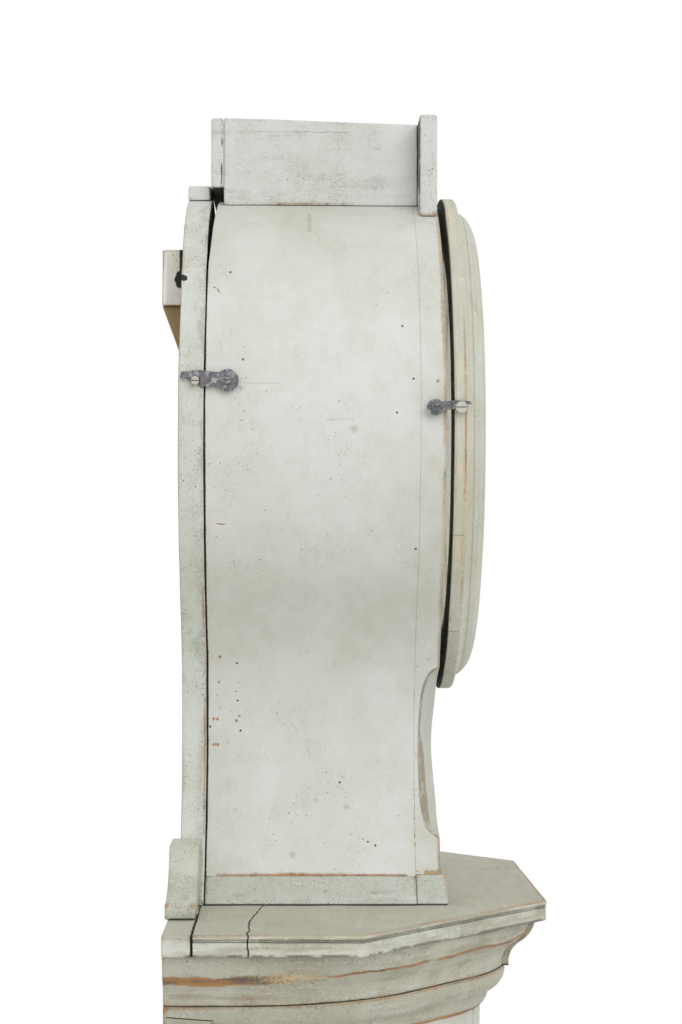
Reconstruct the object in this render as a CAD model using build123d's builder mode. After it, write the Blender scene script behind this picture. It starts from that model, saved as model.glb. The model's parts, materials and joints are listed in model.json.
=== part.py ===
"""Mora clock: a Swedish longcase clock with a round hood that slides off forwards.

Millimetres. +Z is up and the front of the clock faces -Y. The origin lies on the floor, under the
middle of the clock's box. Depths are measured forwards from the front face of the back board.
"""
from build123d import *
from math import atan2, cos, degrees, pi, radians, sin, sqrt
import os

# ---- heights of the case ----
plate_top = 1380.0
plate_thickness = 16.0
base_height = 322.0
shoulder_drop = 90.0        # plate top to the lower edge of the mouldings
waist_height = 850.0
base_moulding_height = 40.0

# ---- shoulder plate in plan ----
plate_half = 316.0
plate_front = 273.0
plate_cant_start = 120.0
plate_flat_half = 133.0
plate_back = -25.0
back_rail_depth = 22.0
lip_height = 3.5
groove_height = 1.5
groove_inset = 2.2
bead_inset = 0.8

# ---- mouldings under the plate, measured out from the trunk and down from the plate's top ----
ogee_top = 42.0
ogee_turn = 29.5            # where the round part turns into the hollow
ogee_turn_drop = 37.5
ogee_foot = 20.0
ogee_drop = 57.0
ogee_front_half = 100.0
ogee_front_proud = 1.5
ogee_front_back = 8.0
ogee_path_half = 64.0
bead_out = 20.5
bead_flat = 4.0
bead_foot = 8.0
bead_drop = 76.0
lower_bead_out = 7.0
lower_bead_drop = 77.0

# ---- trunk ----
trunk_inset = 54.0          # plate's side edges to the trunk's sides
trunk_front_inset = 49.0    # plate's front edge to the trunk's front
trunk_back = -20.0
trunk_wall = 20.0
waist_half = 192.0
side_rounding = 0.99        # corner radii as shares of the cant's width
front_rounding = 0.86
corner_joint_half = 112.0   # joint between the front board and the corner boards
trunk_foot = 300.0

# ---- base ----
base_half = 292.0
base_front = 250.0
base_flat_half = 126.0
base_wall = 18.0
skirting_height = 85.0
skirting_thickness = 9.0
skirting_bevel = 6.0
floor_height = 20.0
floor_thickness = 14.0
base_overhang = 8.0
base_fillet_height = 11.0
base_taper = 40.0

# ---- back board ----
board_thickness = 19.5
board_gap = 0.5             # hood to back board
board_margin = 2.0          # board edge outside the hood's outline
board_foot_gap = 1.0        # board to the base's sides
tongue_half = 150.0         # where the board passes the shoulder
cap_half = 60.0
cap_thickness = 11.0
cap_rebate = 1.3
ear_half = 240.0
ear_shoulder = 170.0
ear_height = 49.0
ear_step = 13.0
ear_hollow = 22.0
ear_back = -27.0
ear_front = -4.0
batten_half = 103.0
batten_low = 480.0
batten_height = 46.0
batten_thickness = 19.0
batten_bevel = 3.0
wedge_half = 97.0
wedge_height = 51.0

# ---- hood, heights above the plate ----
head_radius = 206.6
head_rise = 373.7
neck_radius = 175.5
neck_rise = 122.0
hood_depth = 187.3
front_board_thickness = 20.0
sheet_thickness = 7.0
rib_width = 14.0
rib_thickness = 18.0
rail_height = 20.5
rail_proud = 1.4
rail_inner = 118.0
front_rail_height = 22.0
front_rail_proud = 4.5
front_rail_side = 0.7
dial_opening = 165.0
neck_cut_rise = 118.0       # middle of the planed fronts of the neck
neck_cut_reach = 82.0
neck_cut_levels = 9
neck_flat_least = 13.0      # half width left flat at the middle
neck_flat_round = 38.5
neck_flat_spread = 2.0
neck_slope = 0.178
neck_slope_gain = 0.437     # slope added at the ends of the planed part
back_lean_rise = 490.0      # the hood's back edge leans forwards above this height
back_lean = 7.0
back_lean_height = 110.0

# ---- crown ----
crown_half = 70.0
crown_board = 10.0
crown_back_top = 642.0
crown_front_top = 637.5
crown_front_half = 100.0
crown_front_lip = 2.0
crown_front_start = 172.0
crown_front_thickness = 14.6
crown_clearance = 0.2
crown_back_overlap = 0.6
crown_back_low = 583.0
crown_rounding = 3.0

# ---- hood door ----
door_radius = 210.0
door_gap = 6.0              # hood front to the door's rear face
door_depth = 26.6
door_bore = 162.0
rim_depth = 8.0
rim_round = 2.9
hollow_width = 13.0         # outer edge to the foot of the front's round
hollow_depth = 17.0
crest_width = 32.0
inner_round = 9.0
glass_rebate = 6.0
glass_thickness = 2.5
glass_margin = 0.3

# ---- butt hinges ----
knuckle_radius = 2.5
knuckle_length = 12.0
pin_radius = 1.2
pin_clearance = 0.05
leaf_thickness = 1.6
leaf_width = 18.0
knuckle_gap = 0.3
leaf_gap = 0.5
hood_hinge_offset = 58.0
hood_hinge_overhang = 1.5   # hinge axis outside the door's edge
trunk_hinge_heights = (560.0, 1100.0)
trunk_leaf_thickness = 1.2
trunk_leaf_depth = 15.0

# ---- iron hooks, heights above the plate ----
back_hook_pivot = (18.0, 409.0)
back_hook_tip = -19.0
back_hook_eye = 8.6
back_catch = (-7.0, 408.4)
back_catch_shank = 1.8
back_catch_head = 3.3
back_hook_face = 207.3
door_hook_pivot = (178.0, 388.7)
door_hook_tip = 206.5
door_hook_eye = 6.3
door_catch = (198.0, 388.4)
door_catch_shank = 2.0
door_catch_head = 4.5
door_hook_face = 210.8
hook_thickness = 2.2
hook_lift = 0.5             # hook above the shank that it catches
pivot_shank = 1.6
pivot_head = 3.0
screw_reach = 21.0
screw_head_height = 1.8
hook_side_gap = 0.9
pivot_gap = 0.3
back_arm = 8.5
door_arm = 4.2

# ---- trunk door ----
trunk_door_half = 80.0
trunk_door_low = 420.0
trunk_door_high = 1240.0
trunk_door_thickness = 16.0
trunk_door_proud = 2.0
trunk_door_gap = 1.5
stop_overlap = 8.0
stop_gap = 0.3
door_bead_inset = 36.0
door_bead_width = 12.0
door_bead_height = 4.0

# ---- lock of the trunk door ----
lock_x = -56.0
lock_z = 827.0
lock_width = 24.0
lock_height = 38.0
lock_depth = 14.0
lock_wall = 2.0
bolt_height = 6.0
bolt_rise = 8.0
bolt_thickness = 4.6
bolt_length = 22.0
bolt_clearance = 0.3
key_drop = 7.0
key_radius = 2.0
key_clearance = 0.4
key_bow = 9.0
key_reach = 14.0
escutcheon_half = 9.0
escutcheon_height = 18.0
escutcheon_thickness = 1.0

# ---- seat of the movement ----
plate_opening_half = 66.0
plate_opening_back = 12.0
plate_opening_front = 158.0
cheek_inner = 70.0
cheek_thickness = 14.0
cheek_back = 25.0
cheek_front = 145.0
seat_height = 279.0
seat_thickness = 18.0
seat_half = 98.0
seat_back = 15.0
seat_front = 150.0
line_hole = 5.0
seat_notch_half = 16.0
seat_notch_depth = 19.0

# ---- movement ----
frame_half = 72.0
frame_height = 155.0
frame_back = 42.0
frame_front = 121.0
frame_plate = 3.0
pillar_radius = 4.5
pillar_inset = 8.0
arbor_radius = 2.0
pivot_clearance = 0.05
great_x = 30.0
third_x = -16.0
wheel_thickness = 2.4
pinion_overlap = 1.5        # pinion longer than its wheel, each side
barrel_radius = 22.0
barrel_gap = 1.0            # barrel to its wheel
winding_reach = 1.0         # winding arbor past the dial
strike_place = 15.0         # wheels in front of the back plate
centre_place = 10.0
third_place = 5.0
escape_place = 32.0
great_teeth = 60
centre_pinion_teeth = 8
great_module = 0.95
centre_teeth = 60
third_pinion_teeth = 8
centre_module = 0.85
third_teeth = 56
escape_pinion_teeth = 7
third_module = 0.75
escape_teeth = 30
escape_radius = 16.0
escape_tooth_height = 3.0
minute_module = 0.9
cannon_teeth = 12
minute_teeth = 36
hour_teeth = 40
minute_pinion_teeth = 10
minute_wheel_angle = 90.0
motion_gap = 3.0
motion_depth = 3.5

# ---- dial and hands ----
dial_radius = 172.0
dial_depth = 154.0
dial_thickness = 2.0
dial_pillar_offset = 58.0
dial_pillar_radius = 3.0
winding_hole = 6.0
hour_hand_depth = 159.5
minute_hand_depth = 164.0
hand_thickness = 1.2
hour_hand_length = 84.0
minute_hand_length = 128.0
hour_hand_width = 14.0
minute_hand_width = 11.0
hand_boss = 2.0             # boss outside the pipe
hour_pipe_radius = 4.0
pipe_clearance = 0.4
hour_rest_angle = 305.0
minute_rest_angle = 60.0

# ---- pendulum, bell, weights ----
anchor_drop = 22.6
pendulum_depth = 24.0
pendulum_length = 994.0
bob_radius = 65.0
bob_thickness = 24.0
rod_width = 8.0
rod_thickness = 3.0
rod_tail = 22.0
rod_slack = 0.2
nut_height = 5.0
bob_rim = 5.0
crutch_length = 52.0
crutch_gap = 9.0
crutch_thickness = 3.0
fork_wall = 2.0
fork_height = 4.0
pallet_gap = 1.4
pallet_share = 0.72         # pallet's tip across and up, as a share of its reach
elbow_x = 15.0
elbow_drop = 9.2
anchor_arm = 1.5
rod_head = 3.0              # top of the rod's blade under the stud's middle
rod_eye = 5.6
stud_reach = 5.0
fork_clearance = 0.35
stud_radius = 1.5
cock_half = 22.0
cock_thickness = 4.0
cock_back = 12.0
cock_height = 16.0
bell_x = 40.0
bell_depth = 80.0
bell_radius = 36.0
bell_wall = 1.6
bell_rise = 124.0
bell_seat = 1.0
bell_arm_width = 12.0
bell_arm_foot = 40.0
hammer_x = -30.0
hammer_rise = 62.0
hammer_head_radius = 5.0
hammer_gap = 1.0
weight_radius = 31.0
weight_rounding = 4.0
weight_height = 170.0
weight_top = 1240.0
weight_depth = 80.0
weight_eye = 4.0
weight_eye_height = 14.0
line_radius = 0.9
line_gap = 0.2

# ---- places worked out from the dimensions above ----
depth_origin = (plate_front + trunk_back - batten_thickness) / 2
head_z = plate_top + head_rise
neck_z = plate_top + neck_rise
neck_x = sqrt((head_radius + neck_radius) ** 2 - (head_rise - neck_rise) ** 2)
cant_slope = (plate_front - plate_cant_start) / (plate_half - plate_flat_half)
cant_slant = sqrt(1 + cant_slope ** 2)
plate_under = plate_top - plate_thickness
shoulder_z = plate_top - shoulder_drop
board_front = -board_gap
board_back = board_front - board_thickness
trunk_half = plate_half - trunk_inset
trunk_front_depth = plate_front - trunk_front_inset
trunk_flat_half = plate_flat_half - trunk_inset * (cant_slant - 1) / cant_slope
door_rear = hood_depth + door_gap
hinge_x = trunk_door_half + trunk_door_gap / 2
door_height = trunk_door_high - trunk_door_low
door_middle = (trunk_door_high + trunk_door_low) / 2
door_face = trunk_front_depth + trunk_door_proud
door_back = door_face - trunk_door_thickness
hinge_depth = door_face + knuckle_radius + leaf_gap
leaf_back = hinge_depth - knuckle_radius - leaf_gap - trunk_leaf_depth
leaf_length = 3 * knuckle_length + 2 * knuckle_gap
frame_low = plate_top + seat_height + seat_thickness
great_drop = sqrt(((great_teeth + centre_pinion_teeth) / 2 * great_module) ** 2 - great_x ** 2)
third_rise = sqrt(((centre_teeth + third_pinion_teeth) / 2 * centre_module) ** 2 - third_x ** 2)
escape_distance = (third_teeth + escape_pinion_teeth) / 2 * third_module
escape_rise = third_rise + sqrt(escape_distance ** 2 - third_x ** 2)
anchor_rise = escape_rise + anchor_drop
centre_spot = (0.0, head_z)
going_spot = (great_x, head_z - great_drop)
strike_spot = (-great_x, head_z - great_drop)
third_spot = (third_x, head_z + third_rise)
escape_spot = (0.0, head_z + escape_rise)
anchor_spot = (0.0, head_z + anchor_rise)
hammer_spot = (hammer_x, head_z + hammer_rise)
motion_distance = (cannon_teeth + minute_teeth) / 2 * minute_module
hour_module = 2 * motion_distance / (hour_teeth + minute_pinion_teeth)
minute_spot = (motion_distance * cos(radians(minute_wheel_angle)),
               head_z + motion_distance * sin(radians(minute_wheel_angle)))

os.makedirs("parts", exist_ok=True)


def y_at(depth):
    """Y of a depth in front of the back board's face."""
    return depth_origin - depth


def front_plane(depth):
    """Upright plane across the clock at a depth; extrusions from it go forwards."""
    return Plane.XZ.offset(depth - depth_origin)


def finish(built, node):
    """Label a piece and write its STEP file."""
    built.part.label = node
    export_step(built.part, f"parts/{node}.step")


def finish_group(pieces, node):
    """Write separate solids that share one node."""
    export_step(Compound(label=node, children=pieces), f"parts/{node}.step")


def plan_corners(half, front, flat_half, inset=0.0):
    """Side and front corners of a canted plan, moved inwards by the inset."""
    slant = inset * cant_slant
    side = half - inset
    side_corner = front - cant_slope * (side - flat_half) - slant
    front_corner = flat_half + (inset - slant) / cant_slope
    return (side, side_corner), (front_corner, front - inset)


def plan_face(half, front, flat_half, inset=0.0, back=plate_back):
    """Sharp canted plan of a board or frame."""
    (side, side_depth), (nose, nose_depth) = plan_corners(half, front, flat_half, inset)
    left = [(-side, y_at(back)), (-side, y_at(side_depth)), (-nose, y_at(nose_depth))]
    right = [(-x, y) for x, y in reversed(left)]
    with BuildSketch() as face:
        with BuildLine():
            Polyline(*left, *right, close=True)
        make_face()
    return face.sketch


def round_path(half, inset=0.0, back=plate_back, end_x=None):
    """Rounded line of the trunk's plan, from the left back corner to the right one or to end_x."""
    corners = plan_corners(half, trunk_front_depth, trunk_flat_half, inset)
    (side, side_depth), (nose, nose_depth) = corners
    width = half - trunk_flat_half
    radii = [side_rounding * width - inset, front_rounding * width - inset]
    left = [(-side, y_at(back)), (-side, y_at(side_depth)), (-nose, y_at(nose_depth))]
    if end_x is None:
        points = left + [(-x, y) for x, y in reversed(left)]
        radii = radii + radii[::-1]
    else:
        points = left + [(end_x, y_at(nose_depth))]
    with BuildLine() as path:
        FilletPolyline(*points, radius=radii)
    return path.line


def round_face(half, inset=0.0, back=trunk_back):
    """Rounded plan of the trunk at one level."""
    with BuildSketch() as face:
        with BuildLine() as outline:
            add(round_path(half, inset, back))
            Line(outline.line @ 1, outline.line @ 0)
        make_face()
    return face.sketch


def hood_face(grow, foot=plate_top):
    """Front view of the hood: round head and concave neck, grown by a margin."""
    head = head_radius + grow
    neck = neck_radius - grow
    lean = atan2(neck_rise - head_rise, neck_x)
    join_x = head * cos(lean)
    join_z = head_z + head * sin(lean)
    foot_x = neck_x - sqrt(neck ** 2 - (neck_z - foot) ** 2)
    with BuildSketch() as face:
        with BuildLine():
            ThreePointArc((-join_x, join_z), (0, head_z + head), (join_x, join_z))
            for side in (-1, 1):
                waist_point = (side * (neck_x - neck), neck_z)
                ThreePointArc((side * join_x, join_z), waist_point, (side * foot_x, foot))
            Line((-foot_x, foot), (foot_x, foot))
        make_face()
    return face.sketch


def side_plane(side, depth, rise):
    """Plane on the hood's side at a screw, facing outwards."""
    return Plane(origin=(side * head_radius, y_at(depth), plate_top + rise), z_dir=(side, 0, 0))


def gear_face(teeth, module, first_tooth, bore=0.0, share=0.36):
    """Wheel outline: straight-flanked teeth with wide backlash, one tooth centred at an angle."""
    pitch = teeth * module / 2
    tip = pitch + 0.8 * module
    root = pitch - 1.15 * module
    step = 2 * pi / teeth
    outline = []
    for tooth in range(teeth):
        middle = radians(first_tooth) + tooth * step
        for radius, turn in ((root, -0.32), (tip, -share / 3.2), (tip, share / 3.2), (root, 0.32)):
            angle = middle + turn * step
            outline.append((radius * cos(angle), radius * sin(angle)))
    with BuildSketch() as face:
        with BuildLine():
            Polyline(*outline, close=True)
        make_face()
        if bore:
            Circle(bore, mode=Mode.SUBTRACT)
    return face.sketch


def bearing(first, second):
    """Angle from one arbor to another, in degrees."""
    return degrees(atan2(second[1] - first[1], second[0] - first[0]))


# ======== the case ========

def trunk_half_at(z):
    """Half width of the hourglass trunk: full at both ends, least at the waist."""
    end = shoulder_z if z > waist_height else base_height + base_moulding_height
    share = min(1.0, abs(z - waist_height) / abs(end - waist_height))
    return trunk_half + (waist_half - trunk_half) * (1 + cos(pi * share)) / 2


def trunk_solid(inset, back, low, high):
    """Trunk body between two heights: straight ends and a lofted hourglass between them."""
    foot = base_height + base_moulding_height
    with BuildPart() as body:
        for start, end in ((low, foot), (shoulder_z, high)):
            with BuildSketch(Plane.XY.offset(start)):
                add(round_face(trunk_half, inset, back))
            extrude(amount=end - start)
        for start, end in ((foot, waist_height), (waist_height, shoulder_z)):
            for step in range(5):
                level = start + (end - start) * step / 4
                with BuildSketch(Plane.XY.offset(level)):
                    add(round_face(trunk_half_at(level), inset, back))
            loft()
    return body.part


trunk_outside = trunk_solid(0.0, trunk_back, trunk_foot, plate_under)
trunk_inside = trunk_solid(trunk_wall, trunk_back - 1, trunk_foot - 1, plate_under + 1)

with BuildPart() as back_board:
    add(trunk_inside)
    with BuildSketch(front_plane(board_back)):
        with Locations((0, (trunk_foot + plate_under) / 2)):
            Rectangle(2 * trunk_half, plate_under - trunk_foot)
    extrude(amount=board_thickness, mode=Mode.INTERSECT)
    with BuildSketch(front_plane(board_back)):
        with Locations((0, plate_under - 1)):
            Rectangle(2 * tongue_half, plate_thickness + 2, align=(Align.CENTER, Align.MIN))
        add(hood_face(board_margin))
    extrude(amount=board_thickness)
    with BuildSketch(front_plane(board_back)):
        with Locations((0, floor_height)):
            board_foot_width = 2 * (base_half - base_wall - board_foot_gap)
            Rectangle(board_foot_width, trunk_foot - floor_height, align=(Align.CENTER, Align.MIN))
    extrude(amount=board_thickness)
    with Locations(*[side_plane(side, *back_catch) for side in (-1, 1)]):
        Cylinder(back_catch_shank + pivot_clearance, 2 * screw_reach, mode=Mode.SUBTRACT)
finish(back_board, "back_board")

with BuildPart() as back_board_cap:
    with BuildSketch(front_plane(board_back)):
        add(hood_face(board_margin + cap_thickness))
        add(hood_face(board_margin), mode=Mode.SUBTRACT)
        with Locations((0, head_z)):
            Rectangle(2 * cap_half, 2 * head_radius, align=(Align.CENTER, Align.MIN), mode=Mode.INTERSECT)
    extrude(amount=board_thickness - cap_rebate)
finish(back_board_cap, "back_board_cap")

with BuildPart() as wall_batten:
    with BuildSketch(front_plane(board_back)):
        with Locations((0, plate_top + batten_low)):
            Rectangle(2 * batten_half, batten_height, align=(Align.CENTER, Align.MIN))
    extrude(amount=-batten_thickness)
    chamfer(wall_batten.edges().filter_by(Axis.Z).group_by(Axis.Y)[-1], batten_bevel)
with BuildPart() as batten_wedge:
    with BuildSketch(Plane.YZ.offset(-wedge_half)):
        with BuildLine():
            Polyline(
                (y_at(board_back), plate_top + batten_low),
                (y_at(board_back - batten_thickness), plate_top + batten_low),
                (y_at(board_back), plate_top + batten_low - wedge_height),
                close=True,
            )
        make_face()
    extrude(amount=2 * wedge_half)
finish_group([wall_batten.part, batten_wedge.part], "wall_batten")

with BuildPart() as back_board_ears:
    with BuildSketch(front_plane(ear_back)):
        with BuildLine():
            Line((0, plate_top), (ear_half, plate_top))
            Line((ear_half, plate_top), (ear_half, plate_top + ear_step))
            ThreePointArc(
                (ear_half, plate_top + ear_step),
                (ear_shoulder + ear_hollow, plate_top + ear_step + ear_hollow / 2),
                (ear_shoulder, plate_top + ear_height),
            )
            Line((ear_shoulder, plate_top + ear_height), (0, plate_top + ear_height))
            Line((0, plate_top + ear_height), (0, plate_top))
        make_face()
        mirror(about=Plane.YZ)
        add(hood_face(board_margin), mode=Mode.SUBTRACT)
    extrude(amount=ear_front - ear_back)
finish(back_board_ears, "back_board_ears")

with BuildPart() as shoulder_plate:
    thirds = (
        (0.0, lip_height, 0.0),
        (lip_height, groove_height, groove_inset),
        (lip_height + groove_height, plate_thickness - lip_height - groove_height, bead_inset),
    )
    for drop, height, inset in thirds:
        with BuildSketch(Plane.XY.offset(plate_top - drop)):
            add(plan_face(plate_half, plate_front, plate_flat_half, inset, plate_back + back_rail_depth))
        extrude(amount=-height)
    with BuildSketch(Plane.XY.offset(plate_top)):
        with Locations((0, y_at((plate_opening_back + plate_opening_front) / 2))):
            Rectangle(2 * plate_opening_half, plate_opening_front - plate_opening_back)
        with Locations((0, y_at(board_front))):
            Rectangle(2 * (tongue_half + board_gap), 40, align=(Align.CENTER, Align.MIN))
    extrude(amount=-plate_thickness, mode=Mode.SUBTRACT)
finish(shoulder_plate, "shoulder_plate")

with BuildPart() as shoulder_back_rail:
    with BuildSketch(Plane.XY.offset(plate_top)):
        with Locations((0, y_at(plate_back))):
            Rectangle(2 * plate_half, back_rail_depth, align=(Align.CENTER, Align.MAX))
        with Locations((0, y_at(board_back))):
            notch_width = 2 * (tongue_half + board_gap)
            Rectangle(notch_width, board_thickness, align=(Align.CENTER, Align.MAX), mode=Mode.SUBTRACT)
    extrude(amount=-plate_thickness)
finish(shoulder_back_rail, "shoulder_back_rail")


def moulding_plane(inset=0.0):
    """Profile plane at the left back corner: x is outwards from the trunk, y is up from the plate's top."""
    return Plane(
        origin=(inset - trunk_half, y_at(plate_back), plate_top), x_dir=(-1, 0, 0), z_dir=(0, 1, 0)
    )


def ogee_face():
    """Ogee: convex under the plate, hollow below, with a small foot."""
    with BuildSketch() as face:
        with BuildLine():
            top_corner = (ogee_top, -plate_thickness)
            round_part = TangentArc(top_corner, (ogee_turn, -ogee_turn_drop), tangent=(0, -1))
            TangentArc(round_part @ 1, (ogee_foot, -ogee_drop), tangent=round_part % 1)
            Polyline(
                (ogee_foot, -ogee_drop),
                (0, -ogee_drop),
                (0, -plate_thickness),
                top_corner,
            )
        make_face()
    return face.sketch


with BuildPart() as ogee_sides:
    left_path = round_path(trunk_half, end_x=-ogee_path_half)
    with BuildSketch(moulding_plane()):
        add(ogee_face())
    sweep(path=left_path)
    mirror(about=Plane.YZ)
    with BuildSketch(Plane.XY.offset(plate_under)):
        with Locations((0, y_at(trunk_front_depth))):
            Rectangle(2 * ogee_front_half, 4 * ogee_top)
    extrude(amount=-ogee_drop, mode=Mode.SUBTRACT)
finish(ogee_sides, "ogee_sides")

with BuildPart() as ogee_front:
    front_profile = Plane(
        origin=(ogee_front_half, y_at(trunk_front_depth + ogee_front_proud), plate_top),
        x_dir=(0, -1, 0), z_dir=(-1, 0, 0),
    )
    with BuildSketch(front_profile):
        add(ogee_face())
        with Locations((0, -plate_thickness)):
            Rectangle(ogee_front_back, ogee_drop - plate_thickness, align=(Align.MAX, Align.MAX))
    extrude(amount=2 * ogee_front_half)
    add(trunk_outside, mode=Mode.SUBTRACT)
finish(ogee_front, "ogee_front")

with BuildPart() as bead_cove_moulding:
    with BuildSketch(moulding_plane()):
        with BuildLine():
            side = Line((bead_out, -ogee_drop), (bead_out, -ogee_drop - bead_flat))
            TangentArc(side @ 1, (bead_foot, -bead_drop), tangent=(0, -1))
            Line((bead_foot, -bead_drop), (lower_bead_out, -lower_bead_drop))
            TangentArc((lower_bead_out, -lower_bead_drop), (0, -shoulder_drop), tangent=(0, -1))
            Polyline((0, -shoulder_drop), (0, -ogee_drop), (bead_out, -ogee_drop))
        make_face()
    sweep(path=round_path(trunk_half))
finish(bead_cove_moulding, "bead_cove_moulding")

doorway_width = 2 * (trunk_door_half + trunk_door_gap)
doorway_height = door_height + 2 * trunk_door_gap

with BuildPart() as trunk_front:
    add(trunk_outside)
    add(trunk_inside, mode=Mode.SUBTRACT)
    with BuildSketch(Plane.XY.offset(trunk_foot)):
        with Locations((0, y_at(trunk_front_depth / 2))):
            Rectangle(2 * corner_joint_half, trunk_front_depth + 20, align=(Align.CENTER, Align.MAX))
    extrude(amount=plate_under - trunk_foot, mode=Mode.INTERSECT)
    with BuildSketch(front_plane(door_back - stop_gap)):
        with Locations((0, door_middle)):
            Rectangle(doorway_width, doorway_height)
    extrude(amount=2 * trunk_wall, mode=Mode.SUBTRACT)
    with BuildSketch(front_plane(door_back - trunk_wall)):
        with Locations((stop_overlap / 2, door_middle)):
            Rectangle(doorway_width - stop_overlap, doorway_height - 2 * stop_overlap)
    extrude(amount=2 * trunk_wall, mode=Mode.SUBTRACT)
    with BuildSketch(front_plane(leaf_back)):
        for height in trunk_hinge_heights:
            with Locations((trunk_door_half + trunk_door_gap, height)):
                Rectangle(trunk_leaf_thickness, leaf_length, align=(Align.MIN, Align.CENTER))
    extrude(amount=2 * trunk_leaf_depth, mode=Mode.SUBTRACT)
finish(trunk_front, "trunk_front")

for side, node in ((-1, "trunk_side_left"), (1, "trunk_side_right")):
    with BuildPart() as trunk_side:
        add(trunk_outside)
        add(trunk_inside, mode=Mode.SUBTRACT)
        with BuildSketch(Plane.XY.offset(trunk_foot)):
            with Locations((side * (corner_joint_half + trunk_half) / 2, y_at(trunk_front_depth / 2))):
                Rectangle(trunk_half - corner_joint_half, 2 * trunk_front_depth)
        extrude(amount=plate_under - trunk_foot, mode=Mode.INTERSECT)
    finish(trunk_side, node)


def base_line(inset):
    """Plan corners of the base, from the left back corner round to the right one."""
    corners = plan_corners(base_half, base_front, base_flat_half, inset)
    right = [(base_half - inset, y_at(trunk_back))] + [(x, y_at(depth)) for x, depth in corners]
    return [(-x, y) for x, y in right] + right[::-1]


outer_line = base_line(0.0)
inner_line = base_line(base_wall)

base_boards = []
for first in range(5):
    with BuildPart() as base_board:
        with BuildSketch():
            with BuildLine():
                Polyline(*outer_line[first:first + 2], *reversed(inner_line[first:first + 2]), close=True)
            make_face()
        extrude(amount=base_height)
    base_boards.append(base_board.part)
with BuildPart() as floor_board:
    with BuildSketch(Plane.XY.offset(floor_height)):
        add(plan_face(base_half, base_front, base_flat_half, base_wall, board_front))
    extrude(amount=floor_thickness)
base_boards.append(floor_board.part)
finish_group(base_boards, "base_panels")

with BuildPart() as base_moulding:
    with BuildSketch(Plane.XY.offset(base_height)):
        add(plan_face(base_half, base_front, base_flat_half, -base_overhang, trunk_back))
    extrude(amount=base_fillet_height)
    with BuildSketch(Plane.XY.offset(base_height + base_fillet_height)):
        add(plan_face(base_half, base_front, base_flat_half, 0.0, trunk_back))
    extrude(amount=base_moulding_height - base_fillet_height, taper=base_taper)
    with BuildSketch(Plane.XY.offset(base_height)):
        add(round_face(trunk_half, 0.0, trunk_back - 30))
    extrude(amount=base_moulding_height, mode=Mode.SUBTRACT)
finish(base_moulding, "base_moulding")

with BuildPart() as plinth_skirting:
    with BuildSketch():
        add(plan_face(base_half, base_front, base_flat_half, -skirting_thickness, trunk_back))
    extrude(amount=skirting_height)
    top_edges = plinth_skirting.faces().sort_by(Axis.Z)[-1].edges()
    chamfer(top_edges.sort_by(Axis.Y)[:-1], skirting_bevel)
    with BuildSketch():
        add(plan_face(base_half, base_front, base_flat_half, 0.0, trunk_back))
    extrude(amount=skirting_height, mode=Mode.SUBTRACT)
finish(plinth_skirting, "plinth_skirting")


# ======== the hood ========

def neck_cut_corners(away):
    """Section of the wood planed off one front corner of the neck, at a height from its middle."""
    flat = neck_flat_least - neck_flat_round + sqrt(neck_flat_round ** 2 + (neck_flat_spread * away) ** 2)
    slope = neck_slope + neck_slope_gain * (away / neck_cut_reach) ** 2
    outer = y_at(hood_depth - slope * (head_radius - flat))
    return [(flat, y_at(hood_depth)), (head_radius, y_at(hood_depth)), (head_radius, outer)]


with BuildPart() as neck_cut_block:
    for step in range(neck_cut_levels):
        away = neck_cut_reach * (1 - 2 * step / (neck_cut_levels - 1))
        with BuildSketch(Plane.XY.offset(plate_top + neck_cut_rise + away)):
            with BuildLine():
                Polyline(*neck_cut_corners(away), close=True)
            make_face()
    loft()
neck_cut = neck_cut_block.part

with BuildPart() as hood_front_board:
    with BuildSketch(front_plane(hood_depth - front_board_thickness)):
        add(hood_face(0.0))
        with Locations(centre_spot):
            Circle(dial_opening, mode=Mode.SUBTRACT)
        with Locations((0, plate_top - 1)):
            Rectangle(
                4 * head_radius, front_rail_height + 1, align=(Align.CENTER, Align.MIN), mode=Mode.SUBTRACT
            )
    extrude(amount=front_board_thickness)
    add(neck_cut, mode=Mode.SUBTRACT)
    add(neck_cut.mirror(Plane.YZ), mode=Mode.SUBTRACT)
    with Locations(side_plane(-1, *door_hook_pivot)):
        Cylinder(pivot_shank + pivot_clearance, 2 * screw_reach, mode=Mode.SUBTRACT)
finish(hood_front_board, "hood_front_board")


sheet_front = hood_depth - front_board_thickness

with BuildPart() as lean_wedge:
    with BuildSketch(Plane.YZ.offset(-head_radius)):
        with BuildLine():
            Polyline(
                (y_at(0), plate_top + back_lean_rise),
                (y_at(0), plate_top + back_lean_rise + back_lean_height),
                (y_at(back_lean), plate_top + back_lean_rise + back_lean_height),
                close=True,
            )
        make_face()
    extrude(amount=2 * head_radius)

with BuildPart() as hood_sheet:
    with BuildSketch(front_plane(0)):
        add(hood_face(0.0))
        add(hood_face(-sheet_thickness), mode=Mode.SUBTRACT)
        with Locations((0, plate_top - 1)):
            Rectangle(4 * head_radius, rail_height + 1, align=(Align.CENTER, Align.MIN), mode=Mode.SUBTRACT)
    extrude(amount=sheet_front)
    with Locations(*[side_plane(side, *back_hook_pivot) for side in (-1, 1)]):
        Cylinder(pivot_shank + pivot_clearance, 2 * screw_reach, mode=Mode.SUBTRACT)
    add(lean_wedge.part, mode=Mode.SUBTRACT)
finish(hood_sheet, "hood_sheet")

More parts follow.
